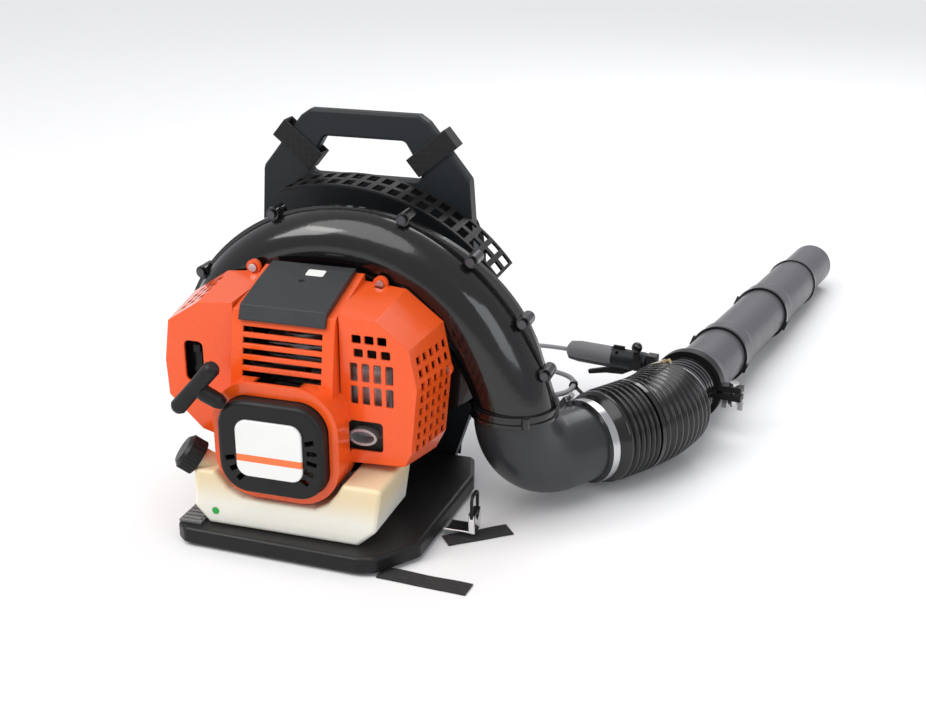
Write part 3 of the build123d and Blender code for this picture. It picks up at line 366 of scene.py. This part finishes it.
def badge_finish(colours):
    """White plate with one orange stripe across it."""
    made = finish("badge plate", colours.white, 0.22, coat=0.6, grain=0.03, mottle=0.02, dust=0.02)
    tree = made.node_tree
    shader = tree.nodes["Principled BSDF"]
    across = tree.nodes.new("ShaderNodeMath")
    across.operation = "SUBTRACT"
    tree.links.new(axis_of(tree, "Z"), across.inputs[0])
    across.inputs[1].default_value = STRIPE_Z
    near = tree.nodes.new("ShaderNodeMath")
    near.operation = "ABSOLUTE"
    tree.links.new(across.outputs[0], near.inputs[0])
    inside = tree.nodes.new("ShaderNodeMath")
    inside.operation = "LESS_THAN"
    tree.links.new(near.outputs[0], inside.inputs[0])
    inside.inputs[1].default_value = STRIPE_HALF
    plain = shader.inputs["Base Color"].links[0].from_socket
    tree.links.new(mixed(tree, inside.outputs[0], plain, STRIPE_ORANGE), shader.inputs["Base Color"])
    return made


# ---------------------------------------------------------------- building
def ring(centre, right, up, wide, high):
    """Frame that carries the unit circle to one ring of a swept skin."""
    ahead = right.cross(up).normalized()
    turn = Matrix((right * wide, up * high, ahead)).transposed().to_4x4()
    return Matrix.Translation(centre) @ turn


def swept(name, rings, sides, smooth=True, turn=0.0):
    """Closed-ended skin through a list of ring frames."""
    bm = bmesh.new()
    start = bmesh.ops.create_circle(bm, cap_ends=True, radius=1, segments=sides)["verts"]
    bmesh.ops.rotate(bm, verts=start, matrix=Matrix.Rotation(turn, 3, "Z"))
    bmesh.ops.transform(bm, matrix=rings[0], verts=start)
    edges = list(bm.edges)
    for before, after in zip(rings, rings[1:]):
        grown = bmesh.ops.extrude_edge_only(bm, edges=edges)["geom"]
        verts = [g for g in grown if isinstance(g, bmesh.types.BMVert)]
        edges = [g for g in grown if isinstance(g, bmesh.types.BMEdge) and g.is_boundary]
        bmesh.ops.transform(bm, matrix=after @ before.inverted(), verts=verts)
    bmesh.ops.edgeloop_fill(bm, edges=edges)
    bmesh.ops.recalc_face_normals(bm, faces=bm.faces)
    return placed(name, bm, smooth)


def placed(name, bm, smooth=True):
    """Object at the origin from a finished bmesh."""
    mesh = bpy.data.meshes.new(name)
    bm.to_mesh(mesh)
    bm.free()
    made = bpy.data.objects.new(name, mesh)
    bpy.context.scene.collection.objects.link(made)
    if smooth:
        mesh.shade_smooth()
    return made


def coloured(obj, *materials):
    """The object's material slots, in order."""
    obj.data.materials.clear()
    for material in materials:
        obj.data.materials.append(material)
    return obj


def painted(node, material, test):
    """A second finish on the faces of a CAD node whose middle and normal pass the test."""
    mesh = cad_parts[node].data
    mesh.materials.append(material)
    for face in mesh.polygons:
        if test(face.center, face.normal):
            face.material_index = len(mesh.materials) - 1


def route_line(name, points):
    """The points of a NURBS spline that has the route as its control points."""
    curve = bpy.data.curves.new(name, "CURVE")
    curve.dimensions = "3D"
    curve.resolution_u = 24
    spline = curve.splines.new("NURBS")
    spline.points.add(len(points) - 1)
    for own, point in zip(spline.points, points):
        own.co = (*point, 1)
    spline.order_u = 3
    spline.use_endpoint_u = True
    bare = bpy.data.objects.new(name, curve)
    mesh = bpy.data.meshes.new_from_object(bare)
    line = [v.co.copy() for v in mesh.vertices]
    bpy.data.objects.remove(bare)
    bpy.data.curves.remove(curve)
    bpy.data.meshes.remove(mesh)
    return line


def evenly(line, pitch):
    """Points of the line about a pitch apart, with both ends."""
    spots, left = [line[0]], pitch
    for a, b in zip(line, line[1:]):
        run = (b - a).length
        while left <= run:
            spots.append(a.lerp(b, left / run))
            left += pitch
        left -= run
    if (spots[-1] - line[-1]).length > pitch / 2:
        spots.append(line[-1])
    else:
        spots[-1] = line[-1]
    return spots


def frames_on(spots, radii, up=UP):
    """Ring frames square to a line of points."""
    rings = []
    for number, (spot, radius) in enumerate(zip(spots, radii)):
        ahead = (spots[min(number + 1, len(spots) - 1)] - spots[max(number - 1, 0)]).normalized()
        right = up.cross(ahead).normalized()
        rings.append(ring(spot, right, ahead.cross(right), radius, radius))
    return rings


class BLOWER_OT_stage(bpy.types.Operator):
    """Camera, floor and lights"""

    bl_idname = "blower.stage"
    bl_label = "Stage"

    def execute(self, context):
        scene = context.scene
        camera = bpy.data.cameras.new("view")
        camera.lens = LENS_MM
        camera.sensor_width = 36
        camera.clip_end = 50
        eye = bpy.data.objects.new("view", camera)
        eye.location = EYE
        eye.rotation_euler = SIGHT.to_track_quat("-Z", "Y").to_euler()
        scene.collection.objects.link(eye)
        scene.camera = eye
        bm = bmesh.new()
        bmesh.ops.create_grid(bm, x_segments=1, y_segments=1, size=FLOOR_HALF)
        floor = placed("floor", bm, False)
        coloured(floor, finish("floor white", (0.86, 0.86, 0.86), 0.6, grain=0.0, mottle=0.0, dust=0.0))
        sun = bpy.data.lights.new("sun", "SUN")
        sun.angle = math.radians(50)
        sun.energy = 1.5
        high = bpy.data.objects.new("sun", sun)
        high.rotation_euler = (math.radians(24), math.radians(-14), 0)
        scene.collection.objects.link(high)
        lamps = [
            ("key", (-1.7, -1.6, 2.2), 1.2, 30, (1.0, 0.98, 0.95)),
            ("fill", (2.4, -1.4, 1.5), 1.4, 16, (0.95, 0.97, 1.0)),
            ("back", (0.5, 2.6, 2.4), 1.6, 26, (1.0, 1.0, 1.0)),
        ]
        for name, spot, size, power, colour in lamps:
            light = bpy.data.lights.new(name, "AREA")
            light.size = size
            light.energy = power
            light.color = colour
            lamp = bpy.data.objects.new(name, light)
            lamp.location = spot
            lamp.rotation_euler = (LAMP_AIM - Vector(spot)).to_track_quat("-Z", "Y").to_euler()
            scene.collection.objects.link(lamp)
        world = bpy.data.worlds.new("studio")
        world.use_nodes = True
        sky = world.node_tree.nodes["Background"]
        sky.inputs["Color"].default_value = (0.95, 0.96, 1.0, 1)
        sky.inputs["Strength"].default_value = 0.55
        scene.world = world
        scene.view_settings.view_transform = "Standard"
        return {"FINISHED"}


class BLOWER_OT_finishes(bpy.types.Operator):
    """Finishes of the CAD pieces"""

    bl_idname = "blower.finishes"
    bl_label = "Finishes"

    def execute(self, context):
        colours = context.scene.blower_colours
        black = colours.black
        gloss = finish("black gloss", black, 0.16, coat=0.5, grain=0.04, mottle=0.1, dust=0.008)
        satin = finish("black satin", [c * 1.5 for c in black], 0.42, grain=0.3, grain_mm=0.7, dust=0.015)
        cover = finish(
            "cover orange", colours.cover, 0.24, coat=0.4, grain=0.04, mottle=0.05, edge_mm=1.6, dust=0.03
        )
        cap = finish(
            "cap satin", colours.cap, 0.36, coat=0.15, grain=0.25, grain_mm=0.6, edge_mm=2.0, dust=0.02
        )
        slate = finish("slate grain", colours.slate, 0.45, grain=0.5, grain_mm=0.9, edge_mm=1.5, dust=0.02)
        tube = finish(
            "tube satin", colours.tube, 0.36, coat=0.1, grain=0.12, mottle=0.08, edge_mm=0.8, dust=0.03
        )
        rubber = finish("black rubber", (0.013, 0.013, 0.013), 0.62, grain=0.4, grain_mm=0.6)
        tread = finish("grey tread", (0.14, 0.14, 0.145), 0.7, grain=0.5, grain_mm=0.6, dust=0.2)
        cast = finish("cast alloy", (0.46, 0.46, 0.47), 0.42, metal=1.0, grain=0.7, grain_mm=1.2, mottle=0.16)
        steel = finish(
            "brushed steel", (0.60, 0.60, 0.61), 0.24, metal=1.0, grain=0.2, grain_mm=0.3, stretch=(1, 8, 1)
        )
        chrome = finish("bright plate", (0.80, 0.80, 0.80), 0.10, metal=1.0, grain=0.05, mottle=0.05)
        gold = finish("passivated zinc", (0.62, 0.47, 0.24), 0.3, metal=1.0, grain=0.2, mottle=0.2)
        dark_screw = finish("dark screw", (0.09, 0.09, 0.10), 0.32, metal=1.0, grain=0.1)
        soot = finish("heat plate", (0.03, 0.028, 0.027), 0.55, grain=0.5, mottle=0.3)
        grip_grey = finish("grip grey", (0.17, 0.17, 0.18), 0.5, grain=0.4, grain_mm=0.8)
        ceramic = finish("plug ceramic", (0.8, 0.79, 0.75), 0.12, coat=0.5, grain=0.0)
        base = finish(
            "base grain", (0.006, 0.006, 0.007), 0.36, grain=0.4, grain_mm=0.9, edge_mm=1.5, dust=0.02
        )
        kinds = {
            gloss: "fan_case_front fan_case_rear joint_ring_1 joint_ring_2 speed_lever swivel_tube "
            "outlet_collar bellows_hoop",
            satin: "intake_cage starter_housing starter_grip fuel_cap impeller choke_lever strap_buckles "
            "control_clamp throttle_trigger stop_switch recoil_pulley ignition_coil carburettor air_filter",
            cover: "engine_cover",
            cap: "top_cap elbow",
            slate: "back_frame",
            base: "base_frame",
            tube: "tube_1 tube_2 nozzle end_cuff",
            rubber: "rubber_feet vibration_mounts plug_lead fuel_line",
            tread: "step_pad",
            cast: "crankcase cylinder flywheel muffler",
            steel: "housing_screws crankshaft clamp_bolt wing_nut clamp_1 clamp_2",
            chrome: "anchor",
            ceramic: "spark_plug",
            grip_grey: "throttle_grip",
            tank_finish(colours): "fuel_tank",
            badge_finish(colours): "starter_badge",
        }
        for material, names in kinds.items():
            for name in names.split():
                coloured(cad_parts[name], material)
        painted("muffler", soot, lambda at, way: -0.1018 < at.y < -0.0994 and abs(at.x - 0.09) > 0.0185)
        painted("muffler", soot, lambda at, way: -0.1018 < at.y < -0.0994 and abs(at.z - 0.141) > 0.0115)
        painted("anchor", satin, lambda at, way: at.x > 0.1975 and at.z > 0.0235)
        painted("housing_screws", dark_screw, lambda at, way: at.y > 0)
        painted("clamp_2", gold, lambda at, way: (at - WAND_BAND).cross(AIM).length > 0.0482)
        painted("throttle_grip", satin, lambda at, way: way.z < -0.35)
        painted("throttle_grip", slate, lambda at, way: at.x > 0.272)
        painted("spark_plug", steel, lambda at, way: at.z < 0.252)
        painted("nozzle", gloss, lambda at, way: RING_BAND.contains(at))
        painted("control_clamp", gloss, lambda at, way: at.x < 0.345)
        return {"FINISHED"}


class BLOWER_OT_conduits(bpy.types.Operator):
    """Corrugated sheath of the throttle cable, in two lengths held by the clip"""

    bl_idname = "blower.conduits"
    bl_label = "Throttle conduit"

    def execute(self, context):
        radius = context.scene.blower_sizes.conduit_r
        pale = finish("conduit grey", (0.30, 0.29, 0.31), 0.42, grain=0.2, grain_mm=0.4, edge_mm=0.2)
        lengths = [
            (
                *("conduit_lower", LOWER_ROUTE, 0.184),
                *(("base", "bellows_mid"), (0.21, 0.125, 0.1), (0.25, 0.225, 0.09)),
            ),
            (
                *("conduit_upper", UPPER_ROUTE, 0.314),
                *(("bellows_mid", "wand"), (0.25, 0.24, 0.09), (0.25, 0.36, 0.09)),
            ),
        ]
        for node, route, length, bodies, start, end in lengths:
            line = route_line(node + "_line", route)
            spots = evenly(line, CONDUIT_PITCH)
            radii = [radius if number % 2 else radius * CONDUIT_GROOVE for number in range(len(spots))]
            sheath = swept("sheath_" + node.split("_")[1], frames_on(spots, radii), 14)
            coloured(sheath, pale)
            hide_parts(node)
            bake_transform(sheath)
        return {"FINISHED"}


class BLOWER_OT_rope(bpy.types.Operator):
    """Braided starter rope between the recoil housing and its handle"""

    bl_idname = "blower.rope"
    bl_label = "Starter rope"

    def execute(self, context):
        radius = context.scene.blower_sizes.rope_r
        start, end = ROPE_EXIT - PULL * 0.018, ROPE_EXIT + PULL * 0.016
        spots = [start.lerp(end, number / ROPE_STEPS) for number in range(ROPE_STEPS + 1)]
        radii = [radius * (1 if number % 2 else 0.93) for number in range(len(spots))]
        rope = swept("rope", frames_on(spots, radii), 12)
        coloured(rope, woven("rope braid", (0.03, 0.03, 0.032), 0.8))
        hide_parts("starter_rope")
        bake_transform(rope)
        return {"FINISHED"}


def merged(name, parts, smooth=True):
    """One object from several, with their modifiers applied."""
    bm = bmesh.new()
    dg = bpy.context.evaluated_depsgraph_get()
    for part in parts:
        bm.from_mesh(bpy.data.meshes.new_from_object(part.evaluated_get(dg)))
        bpy.data.objects.remove(part)
    return placed(name, bm, smooth)


def rib_profile(first, last, count, crest, depth):
    """(distance, radius) pairs of evenly spaced rounded ribs."""
    pitch = (last - first) / count
    pairs = []
    for rib in range(count):
        pairs += [(first + pitch * (rib + share), crest - depth * low) for share, low in RIB_SHAPE]
    return pairs + [(last, crest - depth)]


def moulding_line(name, rings):
    """Thin raised line along the top of ring frames, where the mould's halves met."""
    line = []
    for place in rings:
        across, up = place.col[0].to_3d(), place.col[1].to_3d()
        top = place.translation + up * 1.004
        line.append(ring(top, across.normalized(), up.normalized(), LINE_HALF, LINE_HIGH))
    return swept(name, line, 6)


class BLOWER_OT_bellows(bpy.types.Operator):
    """Ribbed rubber bellows on both sides of the hoop"""

    bl_idname = "blower.bellows"
    bl_label = "Bellows"

    def execute(self, context):
        sizes = context.scene.blower_sizes
        gloss = finish(
            "bellows rubber", (0.006, 0.0062, 0.0065), 0.22, coat=0.3, grain=0.12, mottle=0.15, dust=0.01
        )
        side = HEADING.cross(UP)
        sleeve = [(-0.014, 0.0523), (0.0026, 0.0523), (0.0032, 0.0560), (0.0105, 0.0562), (0.0115, 0.0585)]
        profile = sleeve + [(0.0185, 0.0587), (0.0195, 0.0548)]
        profile += rib_profile(0.0205, INNER_LEN, sizes.inner_ribs, sizes.bellows_r, sizes.rib_depth)
        rings = [ring(EXIT + HEADING * along, side, UP, radius, radius) for along, radius in profile]
        skin = swept("skin", rings, BELLOWS_SIDES)
        inner = merged("bellows_ribs_1", [skin, moulding_line("line", rings[len(sleeve) + 1 :])])
        coloured(inner, gloss)
        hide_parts("bellows_inner")
        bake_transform(inner)
        bend = YAW - WAND_YAW
        arc_r = OUTER_ARC / bend
        centre = ARC_START - side * arc_r
        rings = []
        for along, radius in rib_profile(0, OUTER_ARC, sizes.outer_ribs, sizes.bellows_r, sizes.rib_depth):
            turn = Matrix.Rotation(along / arc_r, 3, "Z")
            rings.append(ring(centre + turn @ (side * arc_r), turn @ side, UP, radius, radius))
        skin = swept("skin", rings, BELLOWS_SIDES)
        outer = merged("bellows_ribs_2", [skin, moulding_line("line", rings)])
        coloured(outer, gloss)
        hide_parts("bellows_outer")
        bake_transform(outer)
        return {"FINISHED"}


def ribbon(name, points, width, thick, across):
    """Flat strip along a list of points, with its width along one direction."""
    points = [Vector(p) for p in points]
    flat = across.normalized()
    rings = []
    for number, spot in enumerate(points):
        ahead = (points[min(number + 1, len(points) - 1)] - points[max(number - 1, 0)]).normalized()
        square = ahead.cross(flat).normalized()
        rings.append(ring(spot, flat, square, width * SQUARE_HALF, thick * SQUARE_HALF))
    made = swept(name, rings, 4, smooth=False, turn=math.pi / 4)
    trim = made.modifiers.new("edge", "BEVEL")
    trim.width = thick * 0.3
    trim.segments = 2
    return made


class BLOWER_OT_webbing(bpy.types.Operator):
    """Harness webbing, its loops round the struts and the two free tails"""

    bl_idname = "blower.webbing"
    bl_label = "Webbing"

    def execute(self, context):
        weave = woven("webbing weave", (0.012, 0.012, 0.013), 1.3)
        parts = []
        for side in (-1, 1):
            middle = Vector((FRAME_MID_X + side * 0.087, 0.123, 0.414))
            lean = Matrix.Rotation(math.radians(-side * 39.5), 3, "Y")
            corners = [(0.0304, 0.0106), (0.0304, -0.0106), (-0.0304, -0.0106), (-0.0304, 0.0106)]
            loop = [middle + lean @ Vector((x, y, 0)) for x, y in corners]
            for a, b in zip(loop, loop[1:] + loop[:1]):
                reach = (b - a).normalized() * 0.001
                parts.append(ribbon("loop", [a - reach, b + reach], 0.026, 0.0024, lean @ UP))
        for x in STRAP_X:
            hang = [(x, 0.133, 0.300), (x, 0.1338, 0.316), (x, 0.1345, 0.3265), (x, 0.146, 0.3275)]
            parts.append(ribbon("hanger", hang, 0.040, 0.0022, Vector((1, 0, 0))))
            fall = [(0.147, 0.054), (0.145, 0.046), (0.141, 0.038), (0.137, 0.026), (0.1337, 0.015)]
            low = [(x, y, z) for y, z in fall]
            parts.append(ribbon("lower", low, 0.025, 0.0016, Vector((1, 0, 0))))
        harness = merged("harness_straps", parts, False)
        coloured(harness, weave)
        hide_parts("harness_webbing")
        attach(harness, "base")
        tails = []
        for start, end in (((0.126, -0.160), (0.232, -0.166)), ((0.172, -0.070), (0.236, -0.020))):
            run = Vector((*end, 0)) - Vector((*start, 0))
            across = run.cross(UP)
            steps = 24
            line = []
            for number in range(steps + 1):
                share = number / steps
                lift = 0.0012 + 0.0004 * math.sin(share * 9)
                line.append(Vector((*start, 0)) + run * share + UP * lift)
            tails.append((ribbon("tail", line, 0.025, 0.0014, across), run.length))
        for number, (tail, length) in enumerate(tails):
            tail.name = f"tail_{number + 1}"
            coloured(tail, weave)
            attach(tail, "base")
        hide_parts("webbing_tails")
        return {"FINISHED"}


def swollen(name, node, squeeze, sizes):
    """Cloth-filled copy of a CAD pad: drawn in, remeshed, blown up and capped."""
    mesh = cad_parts[node].data.copy()
    mesh.materials.clear()
    bm = bmesh.new()
    bm.from_mesh(mesh)
    bmesh.ops.remove_doubles(bm, verts=bm.verts, dist=0.00005)
    for vert in bm.verts:
        vert.co -= vert.normal * squeeze
    bm.to_mesh(mesh)
    bm.free()
    pad = bpy.data.objects.new(name, mesh)
    bpy.context.scene.collection.objects.link(pad)
    remesh = pad.modifiers.new("remesh", "REMESH")
    remesh.mode = "VOXEL"
    remesh.voxel_size = PAD_VOXEL
    dg = bpy.context.evaluated_depsgraph_get()
    pad.data = bpy.data.meshes.new_from_object(pad.evaluated_get(dg))
    pad.modifiers.clear()
    cloth = pad.modifiers.new("cloth", "CLOTH")
    cloth.settings.use_pressure = True
    cloth.settings.uniform_pressure_force = sizes.pressure
    cloth.settings.effector_weights.gravity = 0
    cloth.settings.quality = 5
    for number in range(1, CLOTH_FRAMES + 1):
        bpy.context.scene.frame_set(number)
    blown = bpy.data.meshes.new_from_object(pad.evaluated_get(bpy.context.evaluated_depsgraph_get()))
    for vert, rest in zip(blown.vertices, pad.data.vertices):
        move = vert.co - rest.co
        if move.length > sizes.pad_rise:
            vert.co = rest.co + move.normalized() * sizes.pad_rise
    pad.modifiers.clear()
    pad.data = blown
    bpy.context.scene.frame_set(1)
    return pad


class BLOWER_OT_pads(bpy.types.Operator):
    """Back pad and shoulder straps"""

    bl_idname = "blower.pads"
    bl_label = "Pads"

    def execute(self, context):
        sizes = context.scene.blower_sizes
        cloth = woven("pad cloth", (0.016, 0.016, 0.018), 1.6, 0.85)
        pads = [("back_cushion", "back_pad", 0.7), ("shoulder_pads", "shoulder_straps", 0.6)]
        for name, node, fill in pads:
            pad = swollen(name, node, 0.003, sizes)
            low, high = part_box(node)
            for vert in pad.data.vertices:
                if node == "back_pad":
                    for height in PAD_CHANNELS:
                        groove = CHANNEL_DEPTH * math.exp(-(((vert.co.z - height) / CHANNEL_HALF) ** 2))
                        vert.co.y -= groove if vert.co.y > CHANNEL_FROM_Y else 0
                for axis in range(3):
                    vert.co[axis] = min(max(vert.co[axis], low[axis]), high[axis])
            pad.data.shade_smooth()
            soft = pad.modifiers.new("soft", "SUBSURF")
            soft.levels = soft.render_levels = 1
            coloured(pad, cloth)
            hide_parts(node)
            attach(pad, "base")
        return {"FINISHED"}


def stitches(name, line, face, length=0.004, gap=0.003):
    """Row of raised threads along a line of points, standing on the side that face points to."""
    bm = bmesh.new()
    spots = evenly(line, length + gap)
    for a, b in zip(spots, spots[1:]):
        ahead = (b - a).normalized()
        right = ahead.cross(face).normalized()
        turn = Matrix((right, ahead, face)).transposed().to_4x4()
        made = bmesh.ops.create_icosphere(bm, subdivisions=1, radius=0.5)["verts"]
        bmesh.ops.scale(bm, verts=made, vec=(0.0011, length, 0.0009))
        bmesh.ops.transform(bm, matrix=Matrix.Translation(a.lerp(b, 0.5)) @ turn, verts=made)
    return placed(name, bm)


class BLOWER_OT_seams(bpy.types.Operator):
    """Sewn box stitches on the carrying straps' hangers"""

    bl_idname = "blower.seams"
    bl_label = "Seams"

    def execute(self, context):
        thread = finish("seam thread", (0.16, 0.16, 0.16), 0.6, grain=0.3, grain_mm=0.3, edge_mm=0.1)
        for number, x in enumerate(STRAP_X):
            y, low, high, half = 0.1353, 0.303, 0.322, 0.016
            box = [(x - half, y, low), (x + half, y, low), (x + half, y, high), (x - half, y, high)]
            corners = [Vector(c) for c in (*box, box[0], box[2])]
            seam = stitches(f"seam_{number + 1}", corners, Vector((0, 1, 0)))
            coloured(seam, thread)
            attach(seam, "base")
        return {"FINISHED"}


class BLOWER_OT_marks(bpy.types.Operator):
    """Blank sticker on the cap and the paint dot on the tank"""

    bl_idname = "blower.marks"
    bl_label = "Marks"

    def execute(self, context):
        bm = bmesh.new()
        made = bmesh.ops.create_cube(bm, size=1)["verts"]
        bmesh.ops.scale(bm, verts=made, vec=(0.022, 0.013, 0.0004))
        corners = [e for e in bm.edges if abs((e.verts[0].co - e.verts[1].co).z) > 0.0003]
        bmesh.ops.bevel(bm, geom=corners, offset=0.002, segments=3, profile=0.5, affect="EDGES", material=-1)
        slope = math.atan2(0.010, 0.039)
        bmesh.ops.rotate(bm, verts=bm.verts, matrix=Matrix.Rotation(slope, 3, "X"))
        bmesh.ops.translate(bm, verts=bm.verts, vec=(0.010, -0.045, 0.3047))
        label = placed("cap_sticker", bm, False)
        pale = context.scene.blower_colours.white
        white = finish("sticker white", pale, 0.35, grain=0.05, mottle=0.03, dust=0.02)
        coloured(label, white)
        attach(label, "base")
        bm = bmesh.new()
        disc = bmesh.ops.create_cone(
            bm, cap_ends=True, segments=32, radius1=0.0045, radius2=0.0042, depth=0.0004
        )["verts"]
        bmesh.ops.rotate(bm, verts=disc, matrix=Matrix.Rotation(math.pi / 2, 3, "X"))
        bmesh.ops.translate(bm, verts=disc, vec=(-0.079, -0.1542, 0.042))
        dot = placed("tank_dot", bm, False)
        coloured(dot, finish("paint green", (0.02, 0.36, 0.05), 0.35, grain=0.3, grain_mm=1.0, mottle=0.2))
        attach(dot, "base")
        return {"FINISHED"}


class BLOWER_PT_panel(bpy.types.Panel):
    """Operators and values of the blower"""

    bl_idname = "BLOWER_PT_panel"
    bl_label = "Backpack blower"
    bl_space_type = "VIEW_3D"
    bl_region_type = "UI"
    bl_category = "Blower"

    def draw(self, context):
        for operator in OPERATORS:
            self.layout.operator(operator.bl_idname)
        for group in (context.scene.blower_sizes, context.scene.blower_colours):
            for name in group.bl_rna.properties.keys():
                if name not in ("rna_type", "name"):
                    self.layout.prop(group, name)


OPERATORS = [
    BLOWER_OT_stage,
    BLOWER_OT_conduits,
    BLOWER_OT_rope,
    BLOWER_OT_finishes,
    BLOWER_OT_bellows,
    BLOWER_OT_webbing,
    BLOWER_OT_pads,
    BLOWER_OT_seams,
    BLOWER_OT_marks,
]
CLASSES = [BlowerSizes, BlowerColours, *OPERATORS, BLOWER_PT_panel]


def register():
    for made in CLASSES:
        bpy.utils.register_class(made)
    bpy.types.Scene.blower_sizes = bpy.props.PointerProperty(type=BlowerSizes)
    bpy.types.Scene.blower_colours = bpy.props.PointerProperty(type=BlowerColours)


def unregister():
    del bpy.types.Scene.blower_colours
    del bpy.types.Scene.blower_sizes
    for made in reversed(CLASSES):
        bpy.utils.unregister_class(made)


def main():
    register()
    for operator in OPERATORS:
        group, name = operator.bl_idname.split(".")
        getattr(getattr(bpy.ops, group), name)()


if __name__ == "__main__":
    main()
